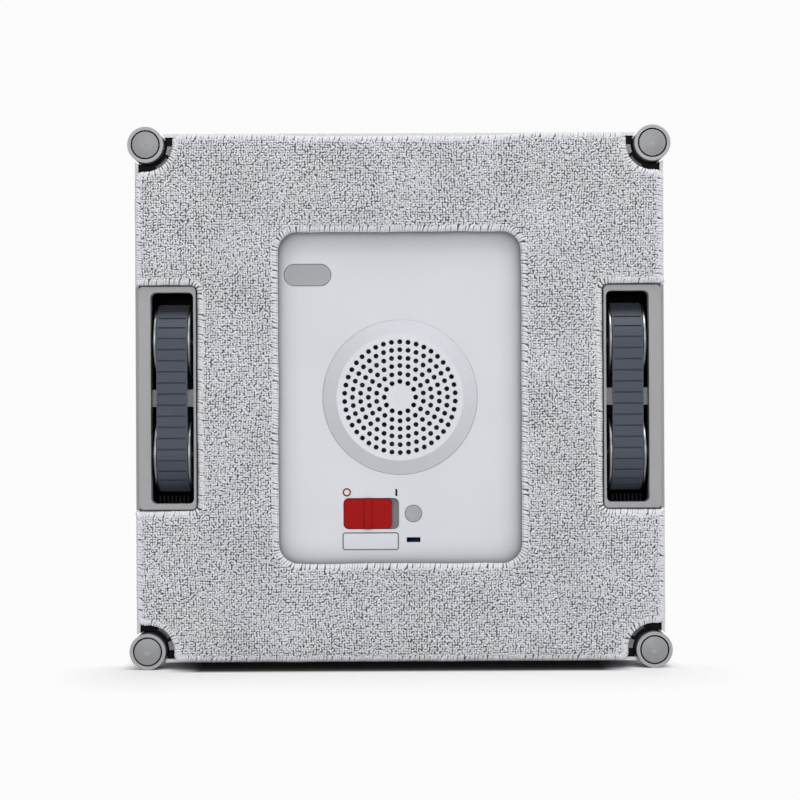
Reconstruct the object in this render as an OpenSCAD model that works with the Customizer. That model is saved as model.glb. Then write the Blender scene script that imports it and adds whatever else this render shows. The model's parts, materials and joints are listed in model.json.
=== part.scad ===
// Window cleaning robot, standing upright on its two lower corner rollers.
// +Z is up, +X is to the right seen from the cleaning side, which faces -Y.
// The plane y = 0 is the glass; depth into the body grows towards +Y.

/* [Body] */
// Width and height of the square body
body_w = 245; // [238:1:256]
// Corner radius of the side casing
corner_r = 14; // [12.5:0.5:17]
// Wall of the side casing
casing_wall = 1.6; // [1.2:0.1:2.2]
// Depth of the side casing from front to back
casing_d = 52; // [50:1:60]
// Wall of the rear cover and its grip bowl
cover_wall = 2.2; // [1.8:0.1:3]
// Rise of the rear cover's middle above the casing
cover_rise = 20.5; // [20:0.5:24]
// Rise of the rear cover's dome above its rounded edge
dome_drop = 8; // [5:0.5:8.5]
// Radius of the rounded edge of the rear cover
cover_edge_r = 11; // [8:0.5:11.5]

/* [Cleaning pad] */
// Thickness of the cleaning pad
pad_t = 5; // [4:0.25:6]
// Width of the window in the pad
pad_win_w = 111.6; // [106:0.2:116]
// Height of the window in the pad
pad_win_h = 152.8; // [148:0.2:158]
// Corner radius of the window in the pad
pad_win_r = 9; // [5:0.5:13]
// Radius of the pad's corner cut about the roller
pad_corner_r = 12; // [11:0.25:13]
// Radius where a corner cut flares into the straight edge
pad_flare_r = 4; // [2:0.5:5]
// Corner radius of the notches for the tracks
pad_notch_r = 3; // [1.5:0.5:5]
// Gap between the pad and the track bezels
pad_gap = 0.4; // [0.3:0.05:0.8]
// Thickness of the hook strips behind the pad
hook_t = 1; // [0.8:0.1:1.5]
// Width of each hook strip
hook_w = 18; // [12:1:20]

/* [Base plate] */
// Thickness of the base plate
base_t = 2.5; // [2.3:0.1:3.2]
// Radius of the base plate's screws
screw_r = 1.4; // [1.2:0.1:1.6]
// Radius of the screw heads
screw_head_r = 2.8; // [2.4:0.1:3.2]
// Length of the screws under the head
screw_l = 12; // [9:1:16]
// Distance along the edge from a corner roller's axis to the top and bottom screws
screw_from_x = 55.2; // [48:0.2:62]
// Distance along the edge from a corner roller's axis to the side screws
screw_from_z = 39.2; // [34:0.2:46]

/* [Corner rollers] */
// Radius of the corner rollers
roller_r = 8.3; // [7.6:0.1:8.8]
// How far the rollers stand out past the sides
roller_out = 3; // [2.4:0.1:3.6]
// Length of a roller from its grey ring to its rear end
roller_l = 12.5; // [11:0.5:15]
// How far a roller's grey ring lies behind the glass
roller_y = 1.5; // [1.2:0.1:2.2]
// Depth of the grey ring
ring_l = 2.5; // [2:0.1:3]
// Width of the grey ring's face
ring_w = 1.55; // [1.2:0.05:2]
// Width of the dark groove between ring and cap
ring_groove = 0.65; // [0.4:0.05:0.9]
// Radius of the roller pins
pin_r = 2; // [1.6:0.1:2.4]
// Clearance of the casing round a roller
roller_gap = 1; // [0.7:0.1:1.4]

/* [Tracks] */
// Distance from the body's side to the middle of a belt
track_inset = 17.2; // [16.6:0.1:18]
// Width of the belts
belt_w = 14.1; // [12:0.1:15]
// Outer radius of a belt round its wheels
belt_r = 17.5; // [16.8:0.1:18.4]
// Thickness of the belts
belt_t = 2; // [1.6:0.1:2.6]
// Space inside the window beyond each end of a belt
belt_end_gap = 5.1; // [4.2:0.1:7]
// Spacing of the grooves across the tread
tread_pitch = 5.12; // [4.4:0.04:6]
// Width of a tread groove
tread_gap = 0.7; // [0.5:0.1:1.2]
// Depth of a tread groove
tread_depth = 0.7; // [0.4:0.1:1]
// Plain edge of the belt beside the grooves
tread_edge = 0.7; // [0.4:0.1:1.2]
// Thickness of the wheel flanges
flange_t = 1; // [0.8:0.1:1.3]
// How far the flanges stay below the tread
flange_below = 0.3; // [0.2:0.05:0.8]
// Width of the window in a bezel
window_w = 19.8; // [19:0.1:20.4]
// Height of the window in a bezel
window_h = 97.8; // [95:0.2:100]
// Corner radius of the window in a bezel
window_r = 2.5; // [1.5:0.25:4]
// How far the bezels lie behind the glass
bezel_y = 2; // [1.4:0.1:3]
// Rim of a bezel beside its window
bezel_rim = 1.1; // [0.9:0.1:1.4]
// Rim of a bezel above and below its window
bezel_end = 2.6; // [2.2:0.1:4]
// Wall of the track housings
pod_wall = 1.6; // [1.3:0.1:1.9]
// Number of comb ribs at the lower end of a track
comb_n = 8; // [5:1:9]

/* [Drive train] */
// Tooth size of the gears, pitch diameter over teeth
gear_module = 0.8; // [0.7:0.05:0.85]
// Teeth on the axle gear
gear_teeth = 18; // [16:1:19]
// Teeth on the motor pinion
pinion_teeth = 12; // [12:1:16]
// Width of the gears
gear_w = 5; // [4:0.5:6]
// Radius of the wheel axles
axle_r = 2; // [1.6:0.1:2.4]
// Radius of the gear motors
motor_r = 13; // [11:0.5:14]
// Length of the gear motors
motor_l = 34; // [28:1:38]
// Radius of the motors' output shafts
shaft_r = 1.5; // [1.2:0.1:1.8]

/* [Fan] */
// Outer radius of the grille boss
boss_r = 36; // [34:0.5:38]
// Radius of the flat face of the grille
boss_flat_r = 29.4; // [28.5:0.1:30.5]
// How far the grille stands out of the base plate
boss_h = 1.8; // [1.4:0.1:2.2]
// Radius of the grille holes
hole_r = 1.15; // [0.8:0.05:1.3]
// Radius of the innermost ring of holes
hole_ring_r = 7.3; // [6.6:0.1:7.6]
// Spacing of the rings of holes
hole_ring_pitch = 3.68; // [3.3:0.02:3.8]
// Number of rings of holes
hole_rings = 6; // [4:1:6]
// Radius of the impeller
impeller_r = 27; // [24:0.5:28]
// Height of the impeller blades
blade_h = 10; // [8:0.5:11]
// Number of impeller blades
blade_n = 11; // [7:1:13]
// Thickness of the impeller blades
blade_t = 1; // [0.8:0.1:1.4]
// Radius of the fan motor
fan_motor_r = 15; // [12:0.5:18]
// Length of the fan motor
fan_motor_l = 17; // [14:0.5:18]

/* [Switch and plugs] */
// Width of the power slider
slider_w = 22.3; // [20:0.1:24]
// Height of the power slider
slider_h = 14; // [12:0.2:15]
// Travel of the power slider
slider_travel = 3; // [2:0.1:3.5]
// Corner radius of the power slider
slider_r = 2.3; // [1.5:0.1:3]
// Width of the slider's finger rib
slider_rib_w = 3.3; // [2.4:0.1:4]
// Length of the oval plug
oval_w = 21.6; // [19:0.2:24]
// Height of the oval plug
oval_h = 9.9; // [8:0.1:11]
// Radius of the round plug
round_r = 3.8; // [3.2:0.1:4.4]

/* [Grip and rear fittings] */
// Radius of the grip bowl's mouth
bowl_r = 46; // [42:1:48]
// Depth of the grip bowl
bowl_d = 24; // [22:0.5:25]
// Width of the grip across the hand
grip_w = 26; // [22:1:30]
// Thickness of the grip at its middle
grip_t = 7; // [6:0.5:9]
// How far the grip arches above its seat
grip_rise = 9.6; // [8:0.2:12]
// Radius of the start button
button_r = 8.5; // [7:0.1:10]
// Travel of the start button
button_travel = 1; // [0.6:0.1:1.2]
// Width of the light ring round the button
light_w = 2.6; // [2:0.1:3.6]
// Radius of the hole in the tether eye
eye_r = 4; // [3.5:0.1:5]
// Thickness of the tether eye
eye_t = 5; // [4:0.25:6]
// Radius of the power socket
socket_r = 2.75; // [2.5:0.05:3.2]

/* [Hidden] */
$fn = 48;

// Clearances and overruns
seat = 0.1;
run_gap = 0.08;
move_gap = 0.25;
belt_gap = 0.3;
end_gap = 0.4;
cut = 1;

// Colours
c_shell = "#d9dadd";
c_panel = "#d4d5da";
c_grille = "#d5d7dd";
c_bezel = "#9a9a9c";
c_belt = "#505662";
c_dark = "#202226";
c_metal = "#c4c6c9";
c_steel = "#8d9094";
c_brass = "#b8975a";
c_white = "#f0f0f2";
c_red = "#a21414";
c_plug = "#a3a4a7";
c_pad = "#b8b9bc";
c_green = "#2f6b45";
c_cell = "#3f6fa8";

// Depths of the main layers
half = body_w / 2;
base_y = pad_t + hook_t;
base_back = base_y + base_t;
casing_y = pad_t;
casing_back = casing_y + casing_d;
inner_w = body_w - 2 * casing_wall;
inner_r = corner_r - casing_wall;
corner_signs = [[-1, 1], [1, 1], [-1, -1], [1, -1]];

// Corner rollers
roller_c = half + roller_out - roller_r;
pocket_r = roller_r + roller_gap;
roller_back = roller_y + roller_l;
cap_y = roller_y / 2;
cap_r = roller_r - ring_w - ring_groove;
cap_t = 1.6;
cap_edge = 0.7;
web_y = cap_y + cap_t + end_gap;
web_t = ring_l / 2;
hub_r = roller_r / 2;
cup_lap = 0.4;
cup_r = pad_corner_r + cup_lap;
bracket_flange = 4;
bracket_floor = 3;
bracket_ear_r = 6.5;
screw_off_x = roller_c - screw_from_x;
screw_off_z = roller_c - screw_from_z;
bracket_y = roller_back + end_gap;
bracket_back = bracket_y + bracket_floor;

// Tracks
track_x = half - track_inset;
bezel_in = track_x - window_w / 2 - bezel_rim;
bezel_out = inner_w / 2 - seat;
bezel_h = window_h + 2 * bezel_end;
bezel_r = 2;
pod_side = 0.4;
pod_in = track_x - window_w / 2 - pod_side;
pod_out = track_x + window_w / 2 + pod_side;
pod_rear_gap = 1.5;
pod_back = 2 * belt_r + pod_rear_gap;
comb_l = 3.6;
comb_d = 14;
comb_share = 0.45;
frame_h = 8;
frame_y = 10;
frame_d = 14;
frame_wall = 1.8;
flange_gap = 0.4;
flange_r = belt_r - flange_below;
flange_bevel = 0.3;
wheel_w = belt_w + 2 * flange_gap;
wheel_r = belt_r - belt_t - belt_gap;
wheel_rim = 2.6;
wheel_hub_r = 5;
wheel_web = 4;
wheel_hole_r = 2;
wheel_holes = 6;
wheel_span = window_h - 2 * belt_r - 2 * belt_end_gap;
belt_run = wheel_span;
belt_arc = PI * belt_r;
belt_path = 2 * (belt_run + belt_arc);
tread_n = round(belt_path / tread_pitch);
drive_at = [belt_r, -wheel_span / 2];
idler_at = [belt_r, wheel_span / 2];
bush_l = 3;
bush_wall = 2;

// Drive train
pressure = 25;
backlash = 0.1;
addendum_share = 0.95;
dedendum_share = 1.25;
gear_side_gap = 0.7;
gear_x = pod_in - pod_wall / 2 - bush_l / 2 - gear_side_gap - gear_w;
gear_reach = gear_module * (gear_teeth + pinion_teeth) / 2;
pinion_at = [belt_r + gear_reach, -wheel_span / 2];
motor_x = gear_x - gear_side_gap;
shaft_depth = 8;
cradle_t = 2.4;
cradle_h = 18;
nose_r = 6;
nose_l = 2;

// Fan
grille_t = 1.6;
spigot_r = boss_flat_r + grille_t;
spigot_wall = 2;
fan_hole_r = spigot_r + seat;
housing_wall = 2;
housing_r = spigot_r + move_gap;
impeller_y = base_back + 3;
impeller_plate = 1.2;
impeller_hub_r = 8;
impeller_back = impeller_y + blade_h + impeller_plate;
housing_back = impeller_back + 2;
outlet_w = 16;
outlet_l = 46;
blade_curve_share = 0.62;
fan_shaft_depth = 10;
fan_shaft_hole = 4;

// Battery, board and their seats
cell_r = 9.2;
cell_l = 65;
cell_n = 3;
cell_pitch = 2 * cell_r + move_gap;
battery_y = base_back + 4 + cell_r;
battery_z = -half + casing_wall + end_gap + cell_r + (cell_n - 1) * cell_pitch / 2;
board_w = 96;
board_h = 44;
board_inset = 38.5;
board_t = 1.6;
board_y = base_back + 15;
board_z = half - board_inset;
post_r = 3;
post_inset = 5;

// Switch and plugs
slider_x = -15.1;
slider_z = -54;
recess_w = slider_w + slider_travel + 2 * move_gap;
recess_h = slider_h + 2 * move_gap;
recess_x = slider_x + slider_travel / 2;
slider_front = base_y + 0.3;
recess_floor = base_back + 1.3;
slider_rib_h = 1;
stem_w = 4;
stem_h = 3;
stem_l = 4;
switch_wall = 2;
switch_d = 10;
oval_x = -42.7;
oval_z = 56.9;
round_x = 6;
round_z = -54;
plug_head = 1.4;
plug_lip = 1.4;
plug_l = 4;
slot_x = 6;
slot_z = -66.2;
slot_w = 6.4;
slot_h = 2.3;

// Rear cover
apex_y = casing_back + cover_rise;
dome_r = (half * half + dome_drop * dome_drop) / (2 * dome_drop);
edge_y = dome_y(half - cover_edge_r);
land_r = bowl_r + 11;
land_h = 0.8;
land_y = apex_y + land_h;
bowl_floor = land_y - bowl_d;
bowl_taper = 6;
button_inset = 34.5;
button_z = half - button_inset;
light_r = button_r + move_gap + light_w;
light_out = 0.8;
button_out = 1.4;
button_t = 6;
light_back = casing_back + 5;
board_disc_t = 1.6;
exhaust_z = -86;
exhaust_w = 78;
exhaust_h = 20;
exhaust_t = 2.4;
exhaust_n = 13;
exhaust_rim = 3;
exhaust_slot_share = 0.55;
eye_x = -62;
eye_z = 92;
eye_ring = 4;
eye_stem = 12;
eye_out = 9;
inlet_x = 84;
inlet_y = casing_y + casing_d * 0.62;
inlet_r = 6;
inlet_l = 15;
inlet_pin_r = 1;
inlet_depth = 10;
inlet_rim = 1.6;
boss_wall_r = 4;
boss_sink = 0.6;
boss_l = 30;
screw_head_h = 1.5;
screw_at = inner_w / 2 - boss_wall_r + boss_sink;
screw_places = [
    for (a = [-1, 1], b = [-1, 1])
        each [[a * screw_off_x, b * screw_at], [a * screw_at, b * screw_off_z]]
];

// Height of the rear cover's dome at a distance from its middle
function dome_y(r) = apex_y - dome_r + sqrt(dome_r * dome_r - r * r);

// Point and outward angle on the belt's outer path, s along it from the lower end of the front run
function belt_at(s) =
    s < belt_run ? [0, s - belt_run / 2, 180] :
    s < belt_run + belt_arc ? belt_turn(belt_run / 2, 180 - (s - belt_run) / belt_arc * 180) :
    s < 2 * belt_run + belt_arc ? [2 * belt_r, belt_run * 1.5 + belt_arc - s, 0] :
    belt_turn(-belt_run / 2, -(s - 2 * belt_run - belt_arc) / belt_arc * 180);
function belt_turn(z, a) = [belt_r + belt_r * cos(a), z + belt_r * sin(a), a];

// The two values a distance either side of a middle
function about(middle, reach) = [middle - reach, middle + reach];

// Flat outlines
module rounded(w, h, r) {
    square([w - 2 * r, h], center = true);
    square([w, h - 2 * r], center = true);
    for (a = [-1, 1], b = [-1, 1])
        translate([a * (w / 2 - r), b * (h / 2 - r)])
            circle(r);
}
module stadium(w, h) {
    square([w - h, h], center = true);
    for (a = [-1, 1])
        translate([a * (w - h) / 2, 0])
            circle(h / 2);
}

// Solids along the three axes: a point p is [x, z] along y, and [y, z] along x
module along_y(y, d) {
    translate([0, y + d, 0])
        rotate([90, 0, 0])
            linear_extrude(d)
                children();
}
module along_x(x, d) {
    translate([x, 0, 0])
        rotate([90, 0, 90])
            linear_extrude(d)
                children();
}
module rod_y(p, y, d, r) {
    translate([p[0], y, p[1]])
        rotate([-90, 0, 0])
            cylinder(h = d, r = r);
}
module rod_x(x, p, d, r) {
    translate([x, p[0], p[1]])
        rotate([0, 90, 0])
            cylinder(h = d, r = r);
}
module spun_y(p, y) {
    translate([p[0], y, p[1]])
        rotate([-90, 0, 0])
            rotate_extrude()
                children();
}
module spun_x(x, p) {
    translate([x, p[0], p[1]])
        rotate([0, 90, 0])
            rotate_extrude()
                children();
}
module block(x, y, z) {
    translate([x[0], y[0], z[0]])
        cube([x[1] - x[0], y[1] - y[0], z[1] - z[0]]);
}
module left_side() {
    mirror([1, 0, 0])
        children();
}

// One involute gear outline with a tooth on the first axis
function involute(a) = tan(a) * 180 / PI - a;
function flank_angle(r, base, teeth) =
    90 / teeth - backlash / (gear_module * teeth) * 180 / PI
    + involute(pressure) - involute(r > base ? acos(base / r) : 0);
module gear_outline(teeth) {
    pitch_r = gear_module * teeth / 2;
    base_r = pitch_r * cos(pressure);
    root_r = pitch_r - dedendum_share * gear_module;
    tip_r = pitch_r + addendum_share * gear_module;
    start_r = max(base_r, root_r);
    radii = [for (k = [0:5]) start_r + (tip_r - start_r) * k / 5];
    inner_r = root_r - gear_module / 2;
    side = concat([[inner_r, flank_angle(base_r, base_r, teeth)]],
                  [for (r = radii) [r, flank_angle(r, base_r, teeth)]]);
    n = len(side);
    circle(root_r);
    for (k = [0:teeth - 1])
        rotate(k * 360 / teeth)
            polygon(concat(
                [for (i = [0:n - 1]) side[i][0] * [cos(side[i][1]), -sin(side[i][1])]],
                [for (i = [n - 1:-1:0]) side[i][0] * [cos(side[i][1]), sin(side[i][1])]]));
}

// Cleaning pad with its window, its track notches and its flared corner cuts
module pad_flare() {
    centre = [half - pad_flare_r,
              roller_c - sqrt(pow(pad_corner_r + pad_flare_r, 2)
                              - pow(half - pad_flare_r - roller_c, 2))];
    share = pad_corner_r / (pad_corner_r + pad_flare_r);
    touch = [roller_c, roller_c] + (centre - [roller_c, roller_c]) * share;
    difference() {
        polygon([centre, [half + cut, centre[1]], [half + cut, roller_c], touch]);
        translate(centre)
            circle(pad_flare_r);
    }
}
module pad_corner() {
    translate([roller_c, roller_c])
        circle(pad_corner_r);
    pad_flare();
    mirror([1, -1])
        pad_flare();
}
module cleaning_pad() {
    notch_in = bezel_in - pad_gap;
    color(c_pad)
        along_y(0, pad_t)
            difference() {
                square(body_w, center = true);
                rounded(pad_win_w, pad_win_h, pad_win_r);
                for (a = [-1, 1]) {
                    translate([a * half, 0])
                        rounded(2 * (half - notch_in), bezel_h + 2 * pad_gap, pad_notch_r);
                    for (b = [-1, 1])
                        scale([a, b])
                            pad_corner();
                }
            }
}
module hook_strips() {
    bar_z = (pad_win_h / 2 + half) / 2;
    bar_x = (pad_win_w / 2 + bezel_in) / 2;
    bar_w = 2 * (roller_c - cup_r - hook_w);
    color(c_white)
        along_y(pad_t, hook_t)
            for (a = [-1, 1]) {
                translate([0, a * bar_z])
                    rounded(bar_w, hook_w, pad_notch_r);
                translate([a * bar_x, 0])
                    rounded(hook_w, pad_win_h - 2 * hook_w, pad_notch_r);
            }
}

// Base plate with its posts, cradles and openings
module base_outline() {
    difference() {
        rounded(inner_w - 2 * seat, inner_w - 2 * seat, inner_r - seat);
        for (s = corner_signs)
            translate(s * roller_c)
                circle(cup_r + seat);
        for (a = [-1, 1])
            translate([a * half, 0])
                square([2 * (half - bezel_in + seat), bezel_h + 2 * seat], center = true);
        circle(fan_hole_r);
        translate([recess_x, slider_z])
            rounded(recess_w, recess_h, slider_r + move_gap);
        translate([slot_x, slot_z])
            square([slot_w, slot_h], center = true);
        translate([oval_x, oval_z])
            stadium(oval_w - 2 * plug_lip + 2 * seat, oval_h - 2 * plug_lip + 2 * seat);
        translate([round_x, round_z])
            circle(round_r - plug_lip + seat);
        for (p = screw_places)
            translate(p)
                circle(screw_r + seat);
    }
}
module board_posts() {
    for (a = [-1, 1], b = [-1, 1])
        rod_y([a * (board_w / 2 - post_inset), board_z + b * (board_h / 2 - post_inset)],
              base_back, board_y - base_back, post_r);
}
module motor_cradles() {
    for (x = [motor_x - motor_l / 4, motor_x - motor_l * 3 / 4])
        difference() {
            block([x - cradle_t / 2, x + cradle_t / 2], [base_back, base_back + cradle_h],
                  about(pinion_at[1], motor_r));
            rod_x(x - cradle_t, pinion_at, 2 * cradle_t, motor_r + seat);
        }
}
module cell_z(k) {
    translate([0, 0, battery_z + (k - (cell_n - 1) / 2) * cell_pitch])
        children();
}
module battery_cradles() {
    reach = (cell_n - 1) * cell_pitch / 2 + cell_r / 2;
    for (x = [-1, 1] * cell_l / 3)
        difference() {
            block([x - cradle_t / 2, x + cradle_t / 2], [base_back, battery_y - cell_r / 2],
                  about(battery_z, reach));
            for (k = [0:cell_n - 1])
                cell_z(k)
                    rod_x(x - cradle_t, [battery_y, 0], 2 * cradle_t, cell_r + seat);
        }
}
module base_plate() {
    color(c_panel)
        difference() {
            union() {
                along_y(base_y, base_t)
                    base_outline();
                board_posts();
                motor_cradles();
                left_side()
                    motor_cradles();
                battery_cradles();
            }
            along_y(base_y - cut, plug_head + cut) {
                translate([oval_x, oval_z])
                    stadium(oval_w + 2 * move_gap, oval_h + 2 * move_gap);
                translate([round_x, round_z])
                    circle(round_r + move_gap);
            }
            for (p = screw_places)
                rod_y(p, base_y - cut, screw_head_h + cut, screw_head_r + seat);
        }
}
module base_screws() {
    color(c_metal)
        for (p = screw_places) {
            difference() {
                rod_y(p, base_y, screw_head_h, screw_head_r);
                for (turn = [0, 90])
                    translate([p[0], base_y, p[1]])
                        rotate([0, turn, 0])
                            cube([screw_head_r, screw_head_h, screw_r / 2], center = true);
            }
            rod_y(p, base_y + screw_head_h, screw_l, screw_r);
        }
}

// Side casing with the corner pockets and the bosses for the base plate's screws
module side_casing() {
    color(c_shell)
        difference() {
            union() {
                along_y(casing_y, casing_d)
                    difference() {
                        rounded(body_w, body_w, corner_r);
                        rounded(inner_w, inner_w, inner_r);
                    }
                for (p = screw_places)
                    rod_y(p, base_back, boss_l, boss_wall_r);
            }
            for (s = corner_signs)
                rod_y(s * roller_c, casing_y - cut, bracket_back + seat - casing_y + cut, pocket_r);
            for (p = screw_places)
                rod_y(p, base_back - cut, screw_l + cut, screw_r + seat / 2);
            translate([inlet_x, inlet_y, half - casing_wall - boss_sink])
                cylinder(h = casing_wall + boss_sink + cut, r = inlet_r + seat);
        }
}

// Corner rollers: grey wheel, rubber tyre, fixed pin with its domed cap, black bracket
module roller_wheel(s) {
    bore = pin_r + run_gap;
    color(c_bezel)
        spun_y(s * roller_c, 0)
            polygon([
                [bore, web_y], [roller_r - ring_w, web_y], [roller_r - ring_w, roller_y],
                [roller_r, roller_y], [roller_r, web_y + web_t], [hub_r, web_y + web_t],
                [hub_r, roller_back], [bore, roller_back]]);
}
module roller_tyre(s) {
    color(c_dark)
        spun_y(s * roller_c, 0)
            difference() {
                translate([hub_r + seat / 2, web_y + web_t])
                    square([roller_r - hub_r - seat / 2, roller_back - web_y - web_t]);
                for (k = [1, 2])
                    translate([roller_r, web_y + web_t + (roller_back - web_y - web_t) * k / 3])
                        circle(cap_edge / 2);
            }
}
module roller_pins() {
    color("#a4a6a8")
        for (s = corner_signs) {
            spun_y(s * roller_c, cap_y)
                intersection() {
                    dome = (cap_r * cap_r + cap_edge * cap_edge) / (2 * cap_edge);
                    translate([0, dome])
                        circle(dome, $fn = 240);
                    square([cap_r, cap_t]);
                }
            rod_y(s * roller_c, cap_y + cap_t, bracket_back - cap_y - cap_t, pin_r);
        }
}
module roller_brackets() {
    flange_r = cup_r + bracket_flange;
    color(c_dark)
        for (s = corner_signs)
            difference() {
                union() {
                    along_y(base_y, bracket_back - base_y)
                        intersection() {
                            rounded(inner_w - 2 * seat, inner_w - 2 * seat, inner_r - seat);
                            translate(s * roller_c)
                                circle(flange_r);
                        }
                    rod_y(s * roller_c, bracket_y, bracket_floor, bracket_ear_r);
                }
                difference() {
                    rod_y(s * roller_c, base_y - cut, base_t + cut, flange_r + cut);
                    rod_y(s * roller_c, base_y - 2 * cut, base_t + 3 * cut, cup_r);
                }
                rod_y(s * roller_c, base_y - cut, bracket_y - base_y + cut, pocket_r);
                rod_y(s * roller_c, bracket_y - cut, bracket_floor + 2 * cut, pin_r + seat / 2);
            }
}

// Track: bezel, housing, cross frame, belt, wheels, flanges, axles and bushes, drawn on the right
module track_bezel() {
    color(c_bezel)
        along_y(bezel_y, base_back - bezel_y)
            difference() {
                translate([(bezel_in + bezel_out) / 2, 0])
                    rounded(bezel_out - bezel_in, bezel_h, bezel_r);
                translate([track_x, 0])
                    rounded(window_w, window_h, window_r);
            }
}
module track_housing() {
    comb_pitch = (window_w - 2 * window_r) / comb_n;
    color(c_dark) {
        difference() {
            block([pod_in - pod_wall, pod_out + pod_wall], [base_back, pod_back + pod_wall],
                  [-1, 1] * (window_h / 2 + pod_wall));
            block([pod_in, pod_out], [base_back - cut, pod_back], [-1, 1] * window_h / 2);
            rod_x(pod_in - pod_wall - cut, drive_at, pod_out - pod_in + 2 * (pod_wall + cut),
                  axle_r + bush_wall + seat / 2);
            rod_x(pod_in - pod_wall - cut, idler_at, pod_out - pod_in + 2 * (pod_wall + cut),
                  axle_r + seat / 2);
        }
        for (k = [0:comb_n - 1])
            translate([track_x + (k - (comb_n - 1) / 2) * comb_pitch, base_back, -window_h / 2 - pod_wall / 2])
                translate([-comb_pitch * comb_share / 2, 0, 0])
                    cube([comb_pitch * comb_share, comb_d, comb_l + pod_wall / 2]);
    }
}
module track_frame() {
    color(c_bezel)
        difference() {
            block([pod_in, pod_out], [frame_y, frame_y + frame_d], [-1, 1] * frame_h / 2);
            block([pod_in + frame_wall, pod_out - frame_wall],
                  [frame_y + frame_wall, frame_y + frame_d + cut],
                  [-1, 1] * (frame_h / 2 - frame_wall));
        }
}
module belt_outline(r) {
    for (p = [drive_at, idler_at])
        translate(p)
            circle(r);
    translate([belt_r - r, -wheel_span / 2])
        square([2 * r, wheel_span]);
}
module tread_belt() {
    color(c_belt)
        difference() {
            along_x(track_x - belt_w / 2, belt_w)
                difference() {
                    belt_outline(belt_r, $fn = 96);
                    belt_outline(belt_r - belt_t, $fn = 96);
                }
            for (k = [0:tread_n - 1]) {
                spot = belt_at((k + 0.5) * belt_path / tread_n);
                translate([track_x, spot[0], spot[1]])
                    rotate([spot[2], 0, 0])
                        translate([tread_edge - belt_w / 2, -tread_depth, -tread_gap / 2])
                            cube([belt_w - 2 * tread_edge, tread_depth + cut, tread_gap]);
            }
        }
}
module track_wheel(p, bore) {
    rim_in = wheel_r - wheel_rim;
    web = [wheel_w - wheel_web, wheel_w + wheel_web] / 2;
    hole_at = (wheel_hub_r + rim_in) / 2;
    color(c_dark)
        difference() {
            spun_x(track_x - wheel_w / 2, p)
                polygon([
                    [bore, 0], [wheel_hub_r, 0], [wheel_hub_r, web[0]], [rim_in, web[0]],
                    [rim_in, 0], [wheel_r, 0], [wheel_r, wheel_w], [rim_in, wheel_w],
                    [rim_in, web[1]], [wheel_hub_r, web[1]], [wheel_hub_r, wheel_w],
                    [bore, wheel_w]]);
            for (k = [0:wheel_holes - 1])
                translate([0, p[0], p[1]])
                    rotate([k * 360 / wheel_holes, 0, 0])
                        rod_x(track_x - wheel_w / 2, [hole_at, 0], wheel_w, wheel_hole_r);
        }
}
module wheel_flanges(p, bore) {
    color(c_metal)
        for (a = [0, 1])
            translate([track_x, 0, 0])
                mirror([a, 0, 0])
                    spun_x(wheel_w / 2, p)
                        polygon([
                            [bore, 0], [flange_r, 0], [flange_r, flange_t - flange_bevel],
                            [flange_r - flange_bevel, flange_t], [bore, flange_t]]);
}
module drive_axle() {
    start = gear_x - gear_side_gap / 2;
    color(c_steel)
        rod_x(start, drive_at, pod_out + pod_wall / 2 + bush_l / 2 - start, axle_r);
}
module both_sides() {
    children();
    left_side()
        children();
}
module idler_axles() {
    color(c_steel)
        both_sides()
            rod_x(pod_in - pod_wall, idler_at, pod_out - pod_in + 2 * pod_wall, axle_r);
}
module axle_bushes() {
    color(c_brass)
        both_sides()
            for (x = [pod_in - pod_wall / 2, pod_out + pod_wall / 2])
                difference() {
                    rod_x(x - bush_l / 2, drive_at, bush_l, axle_r + bush_wall);
                    rod_x(x - bush_l / 2 - cut, drive_at, bush_l + 2 * cut, axle_r + run_gap);
                }
}

// Drive train: axle gear, pinion with the motor's output shaft, gear motor
module drive_gear() {
    color(c_white)
        along_x(gear_x, gear_w)
            translate(drive_at)
                difference() {
                    gear_outline(gear_teeth);
                    circle(axle_r + seat / 2);
                }
}
module motor_pinion() {
    color(c_metal) {
        along_x(gear_x, gear_w)
            translate(pinion_at)
                rotate(180 / pinion_teeth * (pinion_teeth + 1))
                    gear_outline(pinion_teeth);
        rod_x(motor_x - shaft_depth, pinion_at, gear_x - motor_x + shaft_depth + gear_w / 2, shaft_r);
    }
}
module drive_motor() {
    gearbox_l = motor_l / 3;
    color(c_steel)
        difference() {
            union() {
                rod_x(motor_x - nose_l, pinion_at, nose_l, nose_r);
                rod_x(motor_x - nose_l - gearbox_l, pinion_at, gearbox_l, motor_r);
                rod_x(motor_x - motor_l, pinion_at, motor_l - nose_l - gearbox_l, motor_r - nose_l / 2);
            }
            rod_x(motor_x - shaft_depth - end_gap, pinion_at, shaft_depth + end_gap + cut,
                  shaft_r + run_gap);
        }
}

// Fan: grille with its rings of holes, impeller, motor and housing
module fan_grille() {
    color(c_grille)
        difference() {
            spun_y([0, 0], 0)
                polygon([
                    [0, base_y - boss_h], [boss_flat_r, base_y - boss_h], [boss_r, base_y],
                    [spigot_r, base_y], [spigot_r, base_back], [spigot_r - spigot_wall, base_back],
                    [spigot_r - spigot_wall, base_y - boss_h + grille_t],
                    [0, base_y - boss_h + grille_t]]);
            for (ring = [0:hole_rings - 1])
                for (k = [0:6 * (ring + 2) - 1])
                    rotate([0, k * 60 / (ring + 2), 0])
                        rod_y([0, hole_ring_r + ring * hole_ring_pitch],
                              base_y - boss_h - cut, grille_t + 2 * cut, hole_r);
        }
}
module blade_outline() {
    curve_r = impeller_r * blade_curve_share;
    intersection() {
        difference() {
            circle(impeller_r - blade_t / 2);
            circle(impeller_hub_r - blade_t / 2);
        }
        translate([curve_r, 0])
            difference() {
                circle(curve_r + blade_t / 2);
                circle(curve_r - blade_t / 2);
            }
        translate([0, -impeller_r])
            square([2 * impeller_r, impeller_r]);
    }
}
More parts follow.
